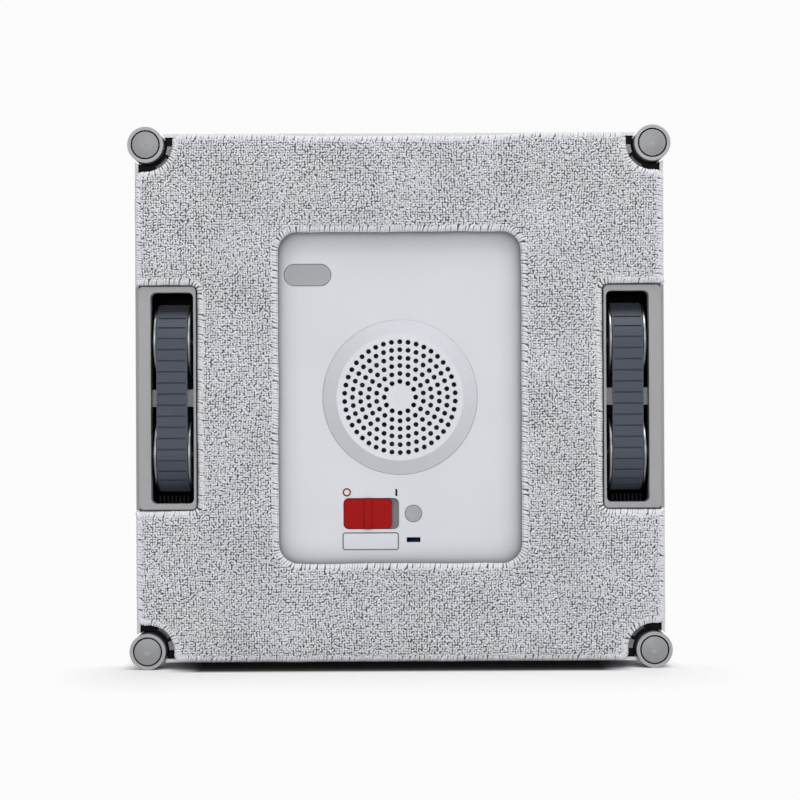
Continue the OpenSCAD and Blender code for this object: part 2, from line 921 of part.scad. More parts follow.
module impeller() {
    shaft_end = housing_back + housing_wall + fan_shaft_depth - impeller_y;
    color(c_dark) {
        spun_y([0, 0], impeller_y)
            polygon([
                [0, 0], [impeller_hub_r / 2, 0], [impeller_hub_r, blade_h / 2],
                [impeller_hub_r, blade_h], [impeller_r, blade_h],
                [impeller_r, blade_h + impeller_plate], [shaft_r, blade_h + impeller_plate],
                [shaft_r, shaft_end], [0, shaft_end]]);
        along_y(impeller_y, blade_h + impeller_plate / 2)
            for (k = [0:blade_n - 1])
                rotate(k * 360 / blade_n)
                    blade_outline();
    }
}
module fan_motor() {
    start = housing_back + housing_wall;
    color(c_steel)
        difference() {
            spun_y([0, 0], start)
                polygon([
                    [0, 0], [fan_motor_r, 0], [fan_motor_r, fan_motor_l - nose_l],
                    [fan_motor_r - nose_l, fan_motor_l], [0, fan_motor_l]]);
            rod_y([0, 0], start - cut, fan_shaft_depth + end_gap + cut, shaft_r + run_gap);
        }
}
module housing_outline(r, w) {
    circle(r);
    translate([0, r - w])
        square([outlet_l, w]);
}
module fan_housing() {
    outer_r = housing_r + housing_wall;
    color(c_white)
        difference() {
            along_y(base_back, housing_back + housing_wall - base_back)
                housing_outline(outer_r, outlet_w + 2 * housing_wall);
            along_y(base_back - cut, housing_back - base_back + cut)
                circle(housing_r);
            along_y(base_back + housing_wall, housing_back - base_back - housing_wall)
                translate([0, housing_r - outlet_w])
                    square([outlet_l + cut, outlet_w]);
            rod_y([0, 0], housing_back - cut, housing_wall + 2 * cut, fan_shaft_hole);
        }
}

// Battery and main board
module battery_pack() {
    color(c_cell) {
        for (k = [0:cell_n - 1])
            cell_z(k)
                rod_x(-cell_l / 2, [battery_y, 0], cell_l, cell_r);
        block([-1, 1] * (cell_l / 2 - cell_r), [battery_y + cell_r / 2, battery_y + cell_r],
              about(battery_z, (cell_n - 1) * cell_pitch / 2));
    }
}
module main_board() {
    chip = board_h / 4;
    color(c_green) {
        block([-1, 1] * board_w / 2, [board_y, board_y + board_t], about(board_z, board_h / 2));
        block([-1, 0] * chip, [board_y + board_t, board_y + 2 * board_t], [board_z - chip, board_z]);
        block([chip, 2 * chip], [board_y + board_t, board_y + 3 * board_t], [board_z, board_z + chip]);
        for (k = [0:2])
            rod_y([-board_w / 3, board_z + (k - 1) * chip], board_y + board_t, chip, chip / 3);
    }
}

// Power slider in its recess, and the rubber plugs
module power_slider() {
    rib = [-1, 1] * slider_rib_w / 2;
    color(c_red) {
        along_y(slider_front, recess_floor - end_gap - slider_front)
            translate([slider_x, slider_z])
                rounded(slider_w, slider_h, slider_r);
        translate([slider_x, 0, 0])
            block(rib, [slider_front - slider_rib_h, slider_front + slider_rib_h],
                  about(slider_z, slider_h / 2));
        block(about(slider_x, stem_w / 2),
              [recess_floor - end_gap - slider_rib_h, recess_floor + stem_l],
              about(slider_z, stem_h / 2));
    }
}
module switch_body() {
    color(c_panel)
        difference() {
            along_y(base_back, switch_d)
                translate([recess_x, slider_z])
                    rounded(recess_w + 2 * switch_wall, recess_h + 2 * switch_wall, slider_r);
            along_y(base_back - cut, recess_floor - base_back + cut)
                translate([recess_x, slider_z])
                    rounded(recess_w, recess_h, slider_r + move_gap);
            block([slider_x - stem_w / 2 - move_gap, slider_x + stem_w / 2 + slider_travel + move_gap],
                  [recess_floor - cut, recess_floor + stem_l + end_gap],
                  about(slider_z, stem_h / 2 + move_gap));
        }
}
module oval_plug() {
    color(c_plug)
        translate([oval_x, 0, oval_z]) {
            along_y(base_y, plug_head)
                stadium(oval_w, oval_h);
            along_y(base_y + plug_head, plug_l)
                stadium(oval_w - 2 * plug_lip, oval_h - 2 * plug_lip);
        }
}
module round_plug() {
    color(c_plug) {
        rod_y([round_x, round_z], base_y, plug_head, round_r);
        rod_y([round_x, round_z], base_y + plug_head, plug_l, round_r - plug_lip);
    }
}

// Rear cover: a domed shell with a grip bowl, and what is fitted in it
module cover_form(wall, drop) {
    side = half - wall;
    intersection() {
        along_y(casing_back - drop, cover_rise + drop)
            rounded(2 * side, 2 * side, corner_r - wall);
        translate([0, apex_y - dome_r, 0])
            sphere(dome_r - wall);
        edge_form(side, cover_edge_r - wall, edge_y - wall);
        rotate([0, 90, 0])
            edge_form(side, cover_edge_r - wall, edge_y - wall);
    }
}
module edge_form(side, r, top) {
    along_x(-side - cut, 2 * side + 2 * cut)
        translate([top - cover_rise, 0])
            rounded(2 * cover_rise, 2 * side, r);
}
module bowl(r, floor_y, top) {
    spun_y([0, 0], 0)
        polygon([[0, floor_y], [r - bowl_taper, floor_y], [r, top], [0, top]]);
}
module exhaust_seat(grow, y, d) {
    along_y(y, d)
        translate([0, exhaust_z])
            rounded(exhaust_w + 2 * grow, exhaust_h + 2 * grow, exhaust_rim + grow);
}
module top_cover() {
    exhaust_y = dome_y(-exhaust_z) - exhaust_t - cover_wall;
    color(c_white)
        difference() {
            union() {
                cover_form(0, 0);
                rod_y([0, 0], dome_y(land_r) - cover_wall, land_y - dome_y(land_r) + cover_wall, land_r);
                bowl(bowl_r + cover_wall, bowl_floor - cover_wall, land_y);
            }
            difference() {
                cover_form(cover_wall, cut);
                exhaust_seat(cover_wall, exhaust_y - cover_wall, apex_y);
                bowl(bowl_r + cover_wall, bowl_floor - cover_wall, land_y);
            }
            bowl(bowl_r, bowl_floor, land_y + cut);
            rod_y([0, button_z], casing_back, apex_y, light_r + seat);
            exhaust_seat(seat, exhaust_y, apex_y);
            exhaust_seat(-cover_wall, casing_back, apex_y);
            block(about(eye_x, eye_t / 2 + seat), [casing_back, 2 * apex_y],
                  about(eye_z, eye_stem / 2 + seat));
        }
}
module exhaust_grille() {
    y = dome_y(-exhaust_z) - exhaust_t - cover_wall;
    pitch = (exhaust_w - 2 * exhaust_rim) / exhaust_n;
    slot = pitch * exhaust_slot_share;
    color(c_dark)
        difference() {
            exhaust_seat(0, y, exhaust_t);
            along_y(y - cut, exhaust_t + 2 * cut)
                for (k = [0:exhaust_n - 1])
                    translate([(k - (exhaust_n - 1) / 2) * pitch, exhaust_z])
                        rounded(slot, exhaust_h - 2 * exhaust_rim, slot * 0.49);
        }
}
module handle_grip() {
    reach = land_r - cover_wall;
    outer = (reach * reach + grip_rise * grip_rise) / (2 * grip_rise);
    centre = land_y + grip_rise - outer;
    color(c_shell)
        intersection() {
            translate([0, 0, -grip_w / 2])
                linear_extrude(grip_w)
                    difference() {
                        intersection() {
                            translate([0, centre])
                                circle(outer, $fn = 300);
                            translate([-reach, land_y])
                                square([2 * reach, 2 * grip_rise]);
                        }
                        translate([0, centre])
                            circle(outer - grip_t, $fn = 300);
                    }
            along_y(land_y - cut, 2 * grip_rise)
                stadium(2 * reach, grip_w);
        }
}
module start_button() {
    top = dome_y(button_z) + button_out;
    color(c_white) {
        spun_y([0, button_z], top - button_t)
            polygon([
                [0, 0], [button_r, 0], [button_r, button_t - cap_edge],
                [button_r - cap_edge, button_t], [0, button_t]]);
        rod_y([0, button_z], button_foot(), top - button_t / 2 - button_foot(), button_r / 3);
    }
}
function button_foot() = light_back + board_disc_t + 2 + button_travel + seat;
module light_ring() {
    top = dome_y(button_z) + light_out;
    color("#cfe6f2")
        difference() {
            rod_y([0, button_z], light_back + board_disc_t, top - light_back - board_disc_t, light_r);
            rod_y([0, button_z], light_back, top - light_back + cut, button_r + move_gap);
        }
}
module button_switch() {
    color(c_green) {
        rod_y([0, button_z], light_back, board_disc_t, light_r);
        rod_y([0, button_z], light_back + board_disc_t / 2, 2 + board_disc_t / 2, button_r / 2);
    }
}
module tether_eye() {
    centre = [dome_y(norm([eye_x, eye_z])) + eye_out, eye_z];
    foot = casing_back + cover_wall;
    color(c_metal)
        difference() {
            along_x(eye_x - eye_t / 2, eye_t) {
                translate(centre)
                    circle(eye_r + eye_ring);
                translate([foot, eye_z - eye_stem / 2])
                    square([centre[0] - foot, eye_stem]);
            }
            rod_x(eye_x - eye_t / 2 - cut, centre, eye_t + 2 * cut, eye_r);
        }
}
module power_inlet() {
    color(c_dark)
        translate([inlet_x, inlet_y, half - inlet_l]) {
            difference() {
                union() {
                    cylinder(h = inlet_l, r = inlet_r);
                    translate([0, 0, inlet_l - casing_wall - inlet_rim])
                        cylinder(h = inlet_rim, r = inlet_r + inlet_rim);
                }
                translate([0, 0, inlet_l - inlet_depth])
                    cylinder(h = inlet_depth + cut, r = socket_r);
            }
            cylinder(h = inlet_l - inlet_rim, r = inlet_pin_r);
        }
}

// Left and right hand copies, and the four rollers
module track_bezel_left() { left_side() track_bezel(); }
module track_bezel_right() { track_bezel(); }
module track_housing_left() { left_side() track_housing(); }
module track_housing_right() { track_housing(); }
module track_frame_left() { left_side() track_frame(); }
module track_frame_right() { track_frame(); }
module tread_belt_left() { left_side() tread_belt(); }
module tread_belt_right() { tread_belt(); }
module drive_wheel_left() { left_side() track_wheel(drive_at, axle_r + seat / 2); }
module drive_wheel_right() { track_wheel(drive_at, axle_r + seat / 2); }
module drive_flanges_left() { left_side() wheel_flanges(drive_at, axle_r + seat / 2); }
module drive_flanges_right() { wheel_flanges(drive_at, axle_r + seat / 2); }
module drive_axle_left() { left_side() drive_axle(); }
module drive_axle_right() { drive_axle(); }
module drive_gear_left() { left_side() drive_gear(); }
module drive_gear_right() { drive_gear(); }
module idler_wheel_left() { left_side() track_wheel(idler_at, axle_r + run_gap); }
module idler_wheel_right() { track_wheel(idler_at, axle_r + run_gap); }
module idler_flanges_left() { left_side() wheel_flanges(idler_at, axle_r + run_gap); }
module idler_flanges_right() { wheel_flanges(idler_at, axle_r + run_gap); }
module motor_pinion_left() { left_side() motor_pinion(); }
module motor_pinion_right() { motor_pinion(); }
module drive_motor_left() { left_side() drive_motor(); }
module drive_motor_right() { drive_motor(); }
module roller_top_left() { roller_wheel(corner_signs[0]); }
module roller_top_right() { roller_wheel(corner_signs[1]); }
module roller_bottom_left() { roller_wheel(corner_signs[2]); }
module roller_bottom_right() { roller_wheel(corner_signs[3]); }
module tyre_top_left() { roller_tyre(corner_signs[0]); }
module tyre_top_right() { roller_tyre(corner_signs[1]); }
module tyre_bottom_left() { roller_tyre(corner_signs[2]); }
module tyre_bottom_right() { roller_tyre(corner_signs[3]); }

base_plate();
fan_grille();
side_casing();
top_cover();
handle_grip();
exhaust_grille();
track_bezel_left();
track_bezel_right();
track_housing_left();
track_housing_right();
track_frame_left();
track_frame_right();
tread_belt_left();
tread_belt_right();
drive_wheel_left();
drive_wheel_right();
drive_flanges_left();
drive_flanges_right();
drive_axle_left();
drive_axle_right();
drive_gear_left();
drive_gear_right();
idler_wheel_left();
idler_wheel_right();
idler_flanges_left();
idler_flanges_right();
idler_axles();
axle_bushes();
motor_pinion_left();
motor_pinion_right();
drive_motor_left();
drive_motor_right();
roller_top_left();
roller_top_right();
roller_bottom_left();
roller_bottom_right();
tyre_top_left();
tyre_top_right();
tyre_bottom_left();
tyre_bottom_right();
roller_pins();
roller_brackets();
impeller();
fan_motor();
fan_housing();
battery_pack();
main_board();
power_slider();
switch_body();
oval_plug();
round_plug();
start_button();
light_ring();
button_switch();
power_inlet();
tether_eye();
cleaning_pad();
hook_strips();
base_screws();
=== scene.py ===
# %% [markdown]
# Window cleaning robot, seen on the side that runs on the glass.
#
# The robot is a flat square box on two rubber tracks. A fan in the middle sucks it onto the pane, a
# looped microfibre pad wipes the glass, and a small roller at each corner guides it along the frame
# of the window. The CAD model gives every rigid form, so this file adds the finishes, the real
# fabric pad, the printed marks and the studio round it.

# %% Load the frame
import json
import math
import random

import bmesh
import bpy
from mathutils import Matrix, Vector, kdtree, noise
from mathutils.bvhtree import BVHTree


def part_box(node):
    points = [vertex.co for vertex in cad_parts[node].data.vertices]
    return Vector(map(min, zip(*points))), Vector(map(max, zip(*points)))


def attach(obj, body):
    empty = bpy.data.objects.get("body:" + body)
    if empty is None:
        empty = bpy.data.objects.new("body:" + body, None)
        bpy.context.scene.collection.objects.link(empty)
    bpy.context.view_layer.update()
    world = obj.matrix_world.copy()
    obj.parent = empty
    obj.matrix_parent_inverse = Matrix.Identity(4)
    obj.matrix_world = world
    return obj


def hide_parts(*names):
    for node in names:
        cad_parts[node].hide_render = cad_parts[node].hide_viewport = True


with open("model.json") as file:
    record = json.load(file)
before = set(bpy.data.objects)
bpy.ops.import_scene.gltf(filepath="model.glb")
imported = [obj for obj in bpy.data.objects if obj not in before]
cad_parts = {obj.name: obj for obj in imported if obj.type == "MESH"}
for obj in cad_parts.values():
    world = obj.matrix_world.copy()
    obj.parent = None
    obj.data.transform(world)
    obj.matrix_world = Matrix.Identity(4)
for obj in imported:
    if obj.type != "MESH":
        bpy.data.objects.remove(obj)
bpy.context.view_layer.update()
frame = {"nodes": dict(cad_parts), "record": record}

nodes = frame["nodes"]

# %% [markdown]
# Sizes are written in millimetres, as on the drawing, and multiplied by MM to get Blender's metres.
# Colours are written as sRGB hex values, because that is how they are read off a photograph, and
# one function turns them into the linear values that a shader adds up.

# %% Units and colours
MM = 0.001


def linear(code):
    values = [int(code[i:i + 2], 16) / 255 for i in (1, 3, 5)]
    channels = (v / 12.92 if v <= 0.04045 else ((v + 0.055) / 1.055) ** 2.4 for v in values)
    return tuple(channels) + (1.0,)


def darker(code, share):
    return tuple(v * share for v in linear(code)[:3]) + (1.0,)


print("mid grey:", [round(v, 3) for v in linear("#808080")])

# %% [markdown]
# A material is a small tree of nodes. One helper adds a node, sets its properties, and fills or
# links its inputs. A number goes straight into the socket and a socket makes a link, so each
# material below reads as a list of what it is made of. An input goes by its name, or by its number
# where the name is long: 0 to 4 of a MapRange are the value, the range that it comes from and the
# range that it goes to, and 0, 6 and 7 of a Mix of colours are the share and the two colours.

# %% Node helper
def add(tree, kind, inputs=None, **settings):
    node = tree.nodes.new("ShaderNode" + kind)
    for name, value in settings.items():
        setattr(node, name, value)
    for key, value in (inputs or {}).items():
        if isinstance(value, bpy.types.NodeSocket):
            tree.links.new(value, node.inputs[key])
        else:
            node.inputs[key].default_value = value
    return node


def new_material(name, sockets):
    material = bpy.data.materials.new(name)
    material.use_nodes = True
    tree = material.node_tree
    shader = tree.nodes["Principled BSDF"]
    for key, value in sockets.items():
        shader.inputs[key].default_value = value
    return material, tree, shader


print("helpers ready")

# %% [markdown]
# The same two steps put every new shape in the scene: a bmesh becomes a mesh, and a mesh becomes an
# object at the origin, since its place is in its points.

# %% Mesh helpers
def mesh_of(shape, name):
    mesh = bpy.data.meshes.new(name)
    shape.to_mesh(mesh)
    shape.free()
    return mesh


def link(name, mesh, *materials):
    piece = bpy.data.objects.new(name, mesh)
    bpy.context.scene.collection.objects.link(piece)
    for material in materials:
        mesh.materials.append(material)
    return piece


# %% [markdown]
# Moulded plastic is most of this robot. ABS straight from a mould copies the spark-eroded texture
# of the steel: a fine matt grain on the working side, a polish on the rear cover. Three things make
# it read as plastic: a slow change of tone, since no large moulding is quite even; the grain, in
# the bump; and the edges, which a mould can't make sharp and which hands polish. The Bevel node
# gives a normal that is rounded at every edge, and where it departs from the flat one there is an
# edge. There the colour is paler on most parts, as wear; on the red slider it is darker instead,
# as painted shade.

# %% Moulded plastic
def rounded(tree, radius):
    """The normal rounded at the edges, and how well it agrees with the flat one."""
    soft = add(tree, "Bevel", {"Radius": radius * MM}, samples=4).outputs[0]
    flat = add(tree, "NewGeometry").outputs["Normal"]
    agree = add(tree, "VectorMath", {0: soft, 1: flat}, operation="DOT_PRODUCT")
    return soft, agree.outputs["Value"]


def moulded(name, code, roughness, grain=0.35, depth=0.012, edge=0.25, coat=0.0, shine=0.5,
            edge_wear_and_shade=1.12, shade=None):
    material, tree, shader = new_material(name, {
        "IOR": 1.53, "Coat Weight": coat, "Coat Roughness": 0.12, "Specular IOR Level": shine})
    place = add(tree, "TexCoord").outputs["Object"]
    broad = add(tree, "TexNoise", {"Vector": place, "Scale": 1 / (45 * MM), "Detail": 3.0})
    fine = add(tree, "TexNoise", {"Vector": place, "Scale": 1 / (grain * MM), "Detail": 2.0})
    soft, agree = rounded(tree, edge)
    uneven = add(tree, "MapRange", {0: broad.outputs[0], 1: 0.3, 2: 0.7}).outputs[0]
    tone = add(tree, "Mix", {0: uneven, 6: darker(code, 0.95), 7: linear(code)},
               data_type="RGBA").outputs[2]
    # edges turn paler as wear, or darker as painted shade where that factor is below 1
    rim = add(tree, "MapRange", {0: agree, 1: 1.0, 2: 0.75, 3: 0.0, 4: 0.5}).outputs[0]
    tone = add(tree, "Mix", {0: rim, 6: tone, 7: darker(code, edge_wear_and_shade)},
               data_type="RGBA").outputs[2]
    tree.links.new(shade(tree, place, tone) if shade else tone, shader.inputs["Base Color"])
    worn = add(tree, "MapRange", {0: fine.outputs[0], 1: 0.3, 2: 0.7,
                                  3: roughness * 0.9, 4: roughness * 1.1})
    tree.links.new(worn.outputs[0], shader.inputs["Roughness"])
    bump = add(tree, "Bump", {"Height": fine.outputs[0], "Distance": depth * MM,
                              "Normal": soft, "Strength": 0.8})
    tree.links.new(bump.outputs[0], shader.inputs["Normal"])
    return material


print("plastic ready")

# %% [markdown]
# Three of the mouldings change colour with the place. The panel gets painted shade along everything
# that stands up from it. The grille is a flat disc of holes inside a shallow cone, and the cone
# gets painted shade. The side shell ends in a lip, and beside the tracks that lip has the grey of
# the bezels.

# %% Shade that depends on the place
BEZEL_GREY = "#9a9a9c"
FLAT_R = 29.35 * MM     # where the grille's flat middle meets its cone
CONE_EDGE = 0.25 * MM   # half the width of the change between them


def painted_shade_by_walls(tree, place, tone):
    """Painted shade darkens the plate close to anything that stands up from it."""
    open_sky = add(tree, "AmbientOcclusion", {"Distance": 11 * MM}, samples=8).outputs["AO"]
    share = add(tree, "MapRange", {0: open_sky, 1: 0.45, 2: 0.95, 3: 0.42, 4: 1.0}).outputs[0]
    return add(tree, "VectorMath", {0: tone, "Scale": share}, operation="SCALE").outputs[0]


def painted_cone_shade(tree, place, tone):
    """Painted shade on the cone round the holes, least at its upper right."""
    low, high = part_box("fan_grille")
    out = add(tree, "VectorMath", {0: place, 1: (low + high) / 2}, operation="SUBTRACT")
    side, _, up = add(tree, "SeparateXYZ", {0: out.outputs[0]}).outputs
    flat = add(tree, "CombineXYZ", {0: side, 2: up}).outputs[0]
    reach = add(tree, "VectorMath", {0: flat}, operation="LENGTH").outputs["Value"]
    corner = add(tree, "Math", {0: side, 1: up}, operation="ADD").outputs[0]
    lit = add(tree, "Math", {0: corner, 1: reach}, operation="DIVIDE").outputs[0]
    cone = add(tree, "MapRange", {0: reach, 1: FLAT_R - CONE_EDGE, 2: FLAT_R + CONE_EDGE})
    dim = add(tree, "MapRange", {0: lit, 1: -1.4, 2: 1.4, 3: 0.2, 4: 0.1}).outputs[0]
    both = add(tree, "Math", {0: cone.outputs[0], 1: dim}, operation="MULTIPLY").outputs[0]
    share = add(tree, "Math", {0: 1.0, 1: both}, operation="SUBTRACT").outputs[0]
    return add(tree, "VectorMath", {0: tone, "Scale": share}, operation="SCALE").outputs[0]


def lipped(tree, place, tone):
    """Beside each track bezel the front lip of the shell has the grey of the bezel."""
    _, depth, up = add(tree, "SeparateXYZ", {0: place}).outputs
    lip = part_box("side_casing")[0].y + 0.8 * MM
    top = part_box("track_bezel_left")[1].z + 0.2 * MM
    near = add(tree, "Math", {0: depth, 1: lip}, operation="LESS_THAN").outputs[0]
    height = add(tree, "Math", {0: up}, operation="ABSOLUTE").outputs[0]
    level = add(tree, "Math", {0: height, 1: top}, operation="LESS_THAN").outputs[0]
    both = add(tree, "Math", {0: near, 1: level}, operation="MULTIPLY").outputs[0]
    return add(tree, "Mix", {0: both, 6: tone, 7: linear(BEZEL_GREY)},
               data_type="RGBA").outputs[2]


finish = {
    "panel": moulded("moulded_abs_panel_fine_texture", "#d3d4d9", 0.5, shade=painted_shade_by_walls),
    "grille": moulded("moulded_abs_grille", "#d5d7dd", 0.45, edge_wear_and_shade=1.0, shade=painted_cone_shade),
    "shell": moulded("moulded_abs_side_shell", "#dddee1", 0.35, depth=0.008, shade=lipped),
    "cover": moulded("polished_abs_rear_cover", "#e9eaec", 0.22, depth=0.003, coat=0.3),
    "bezel": moulded("moulded_abs_track_bezel", BEZEL_GREY, 0.42),
    # the frames' grey is paler than the part's own, as painted light, since hardly any light gets
    # down to them
    "frame": moulded("moulded_abs_track_frame", "#c6c6c8", 0.42),
    "housing": moulded("moulded_abs_black", "#090a0c", 0.6, shine=0.1),
    "roller": moulded("moulded_abs_roller_ring", "#a2a2a4", 0.38, edge=0.35),
    "cap": moulded("satin_abs_pin_cap", "#8c8d8f", 0.34, depth=0.006),
    "impeller": moulded("glass_filled_nylon_impeller", "#4a4c52", 0.5, grain=0.8),
    "wheel": moulded("nylon_wheel", "#24262b", 0.45),
    "gear": moulded("natural_acetal_gear", "#e6e6e2", 0.3, depth=0.004),
    "fan_shell": moulded("moulded_abs_fan_shell", "#e2e2e4", 0.45),
    # the slider's edges are painted darker, as shade on their rounds
    "slider": moulded("polished_abs_red_slider", "#9c0a0c", 0.5, depth=0.004, shine=0.1,
                      edge=0.4, edge_wear_and_shade=0.35),
    "button": moulded("polished_abs_button", "#ecedef", 0.25, depth=0.003, coat=0.3),
    "inlet": moulded("black_nylon_socket", "#1b1c1f", 0.42),
}
print("moulded plastics:", len(finish))

# %% [markdown]
# Rubber is matt and a little dusty. The tread belts are blue-grey moulded polyurethane: the crowns
# of the ribs are rubbed paler, and the grooves between them hold dirt and shade. Plugs and tyres
# are the same stuff in other colours. Fine noise in the bump gives the dry, dragging look that a
# polished highlight would spoil.

# %% Rubber
def rubber(name, code, roughness, dust=0.08):
    material, tree, shader = new_material(name, {"IOR": 1.5, "Sheen Weight": 0.12,
                                                 "Sheen Roughness": 0.5})
    place = add(tree, "TexCoord").outputs["Object"]
    fine = add(tree, "TexNoise", {"Vector": place, "Scale": 1 / (0.25 * MM), "Detail": 3.0})
    patch = add(tree, "TexNoise", {"Vector": place, "Scale": 1 / (7 * MM), "Detail": 4.0})
    soft, agree = rounded(tree, 0.25)
    dusty = add(tree, "MapRange", {0: patch.outputs[0], 1: 0.35, 2: 0.75}).outputs[0]
    tone = add(tree, "Mix", {0: dusty, 6: linear(code), 7: darker(code, 1 + dust)},
               data_type="RGBA").outputs[2]
    rim = add(tree, "MapRange", {0: agree, 1: 1.0, 2: 0.7, 3: 0.0, 4: 0.45}).outputs[0]
    tone = add(tree, "Mix", {0: rim, 6: tone, 7: darker(code, 1.3)}, data_type="RGBA")
    tree.links.new(tone.outputs[2], shader.inputs["Base Color"])
    worn = add(tree, "MapRange", {0: fine.outputs[0], 1: 0.3, 2: 0.7,
                                  3: roughness - 0.06, 4: roughness + 0.06})
    tree.links.new(worn.outputs[0], shader.inputs["Roughness"])
    bump = add(tree, "Bump", {"Height": fine.outputs[0], "Distance": 0.02 * MM,
                              "Normal": soft, "Strength": 0.8})
    tree.links.new(bump.outputs[0], shader.inputs["Normal"])
    return material


finish["belt"] = rubber("polyurethane_tread_belt", "#343a46", 0.58)
finish["tyre"] = rubber("black_rubber_tyre", "#0e0f11", 0.5)
finish["plug"] = rubber("grey_rubber_plug", "#9d9ea1", 0.55, dust=0.05)
print("rubbers: 3")

# %% [markdown]
# Metal parts show how they were cut. A turned part has rings about its axis, a drawn motor can has
# fine lines along its length, a zinc plated screw has small spangled patches. The lines are a
# stretched noise, finer across than along. They are finer on the real part than the camera could
# show, so they are drawn at about 0.2 mm.

# %% Metal
def metal(name, code, roughness, stretch=(1.0, 1.0, 1.0), line=0.2, depth=0.006):
    material, tree, shader = new_material(name, {"Metallic": 1.0})
    place = add(tree, "TexCoord").outputs["Object"]
    pulled = add(tree, "Mapping", {"Vector": place, "Scale": stretch}).outputs[0]
    lines = add(tree, "TexNoise", {"Vector": pulled, "Scale": 1 / (line * MM), "Detail": 3.0})
    cloud = add(tree, "TexNoise", {"Vector": place, "Scale": 1 / (9 * MM), "Detail": 2.0})
    patchy = add(tree, "MapRange", {0: cloud.outputs[0], 1: 0.3, 2: 0.7}).outputs[0]
    tone = add(tree, "Mix", {0: patchy, 6: darker(code, 0.88), 7: linear(code)},
               data_type="RGBA")
    tree.links.new(tone.outputs[2], shader.inputs["Base Color"])
    cut = add(tree, "MapRange", {0: lines.outputs[0], 1: 0.3, 2: 0.7,
                                 3: roughness * 0.75, 4: roughness * 1.3})
    tree.links.new(cut.outputs[0], shader.inputs["Roughness"])
    soft = add(tree, "Bevel", {"Radius": 0.15 * MM}, samples=4)
    bump = add(tree, "Bump", {"Height": lines.outputs[0], "Distance": depth * MM,
                              "Normal": soft.outputs[0]})
    tree.links.new(bump.outputs[0], shader.inputs["Normal"])
    return material


finish["flange"] = metal("pressed_stainless_flange", "#8a8c8f", 0.33, depth=0.002)
finish["steel"] = metal("turned_steel", "#a3a6aa", 0.3, (4.0, 1.0, 1.0))
finish["brass"] = metal("sintered_bronze_bush", "#b08d57", 0.42, line=0.12, depth=0.02)
finish["motor"] = metal("drawn_steel_motor_can", "#9ea1a5", 0.34, (0.1, 1.0, 1.0))
finish["metal"] = metal("polished_stainless_eye", "#d2d4d6", 0.12, depth=0.001)
finish["screw"] = metal("zinc_plated_screw", "#c6c8ca", 0.33, line=0.5)
print("metals: 6")

# %% [markdown]
# The parts inside are seen only when the robot is open, but they get their own finish too. The
# board is glass-fibre with green resist: its traces are a fine brick pattern, and whatever stands
# proud of it is black. The cells are wrapped in blue heat-shrunk PVC, which wrinkles. The hook tape
# is a woven band with a field of stiff hooks, drawn as a fine dotted bump.

# %% Board, battery wrap, light ring and hook tape
def board():
    material, tree, shader = new_material("glass_fibre_board", {"Roughness": 0.4, "IOR": 1.55})
    place = add(tree, "TexCoord").outputs["Object"]
    turned = add(tree, "Mapping", {"Vector": place, "Rotation": (math.radians(90), 0, 0)})
    trace = add(tree, "TexBrick", {"Vector": turned.outputs[0], "Color1": linear("#1f5a38"),
                                   "Color2": linear("#2f7a4c"), "Mortar": linear("#4d9a68"),
                                   "Scale": 1 / (14 * MM), "Mortar Size": 0.03})
    depth = add(tree, "SeparateXYZ", {0: place}).outputs[1]
    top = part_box("main_board")[0][1] + 1.7 * MM
    proud = add(tree, "Math", {0: depth, 1: top}, operation="GREATER_THAN").outputs[0]
    tone = add(tree, "Mix", {0: proud, 6: trace.outputs[0], 7: linear("#1c1d20")},
               data_type="RGBA")
    tree.links.new(tone.outputs[2], shader.inputs["Base Color"])
    bump = add(tree, "Bump", {"Height": trace.outputs[1], "Distance": 0.05 * MM})
    tree.links.new(bump.outputs[0], shader.inputs["Normal"])
    return material


def wrap():
    material, tree, shader = new_material("heat_shrunk_pvc_wrap", {"IOR": 1.53,
                                                                   "Roughness": 0.24})
    place = add(tree, "TexCoord").outputs["Object"]
    pulled = add(tree, "Mapping", {"Vector": place, "Scale": (1.0, 0.3, 0.3)}).outputs[0]
    folds = add(tree, "TexNoise", {"Vector": pulled, "Scale": 1 / (6 * MM), "Detail": 4.0})
    tone = add(tree, "Mix", {0: folds.outputs[0], 6: linear("#2f5f9a"), 7: linear("#4478b4")},
               data_type="RGBA")
    tree.links.new(tone.outputs[2], shader.inputs["Base Color"])
    bump = add(tree, "Bump", {"Height": folds.outputs[0], "Distance": 0.25 * MM})
    tree.links.new(bump.outputs[0], shader.inputs["Normal"])
    return material


def frosted():
    material, tree, shader = new_material("frosted_acrylic_ring", {
        "IOR": 1.49, "Roughness": 0.5, "Subsurface Weight": 0.3, "Subsurface Scale": 0.003})
    place = add(tree, "TexCoord").outputs["Object"]
    cloud = add(tree, "TexNoise", {"Vector": place, "Scale": 1 / (3 * MM)})
    tone = add(tree, "Mix", {0: cloud.outputs[0], 6: linear("#bfdcea"), 7: linear("#d8ecf5")},
               data_type="RGBA")
    tree.links.new(tone.outputs[2], shader.inputs["Base Color"])
    return material


def hook_tape():
    material, tree, shader = new_material("woven_hook_tape", {"Roughness": 0.75,
                                                              "Sheen Weight": 0.3})
    place = add(tree, "TexCoord").outputs["Object"]
    hooks = add(tree, "TexVoronoi", {"Vector": place, "Scale": 1 / (1.1 * MM),
                                     "Randomness": 0.25})
    between = add(tree, "MapRange", {0: hooks.outputs[0], 1: 0.1, 2: 0.5}).outputs[0]
    tone = add(tree, "Mix", {0: between, 6: linear("#f2f2f3"), 7: linear("#b9babd")},
               data_type="RGBA")
    tree.links.new(tone.outputs[2], shader.inputs["Base Color"])
    bump = add(tree, "Bump", {"Height": hooks.outputs[0], "Distance": 0.4 * MM}, invert=True)
    tree.links.new(bump.outputs[0], shader.inputs["Normal"])
    return material


finish.update(board=board(), battery=wrap(), light=frosted(), hook=hook_tape())
print("finishes so far:", len(finish))

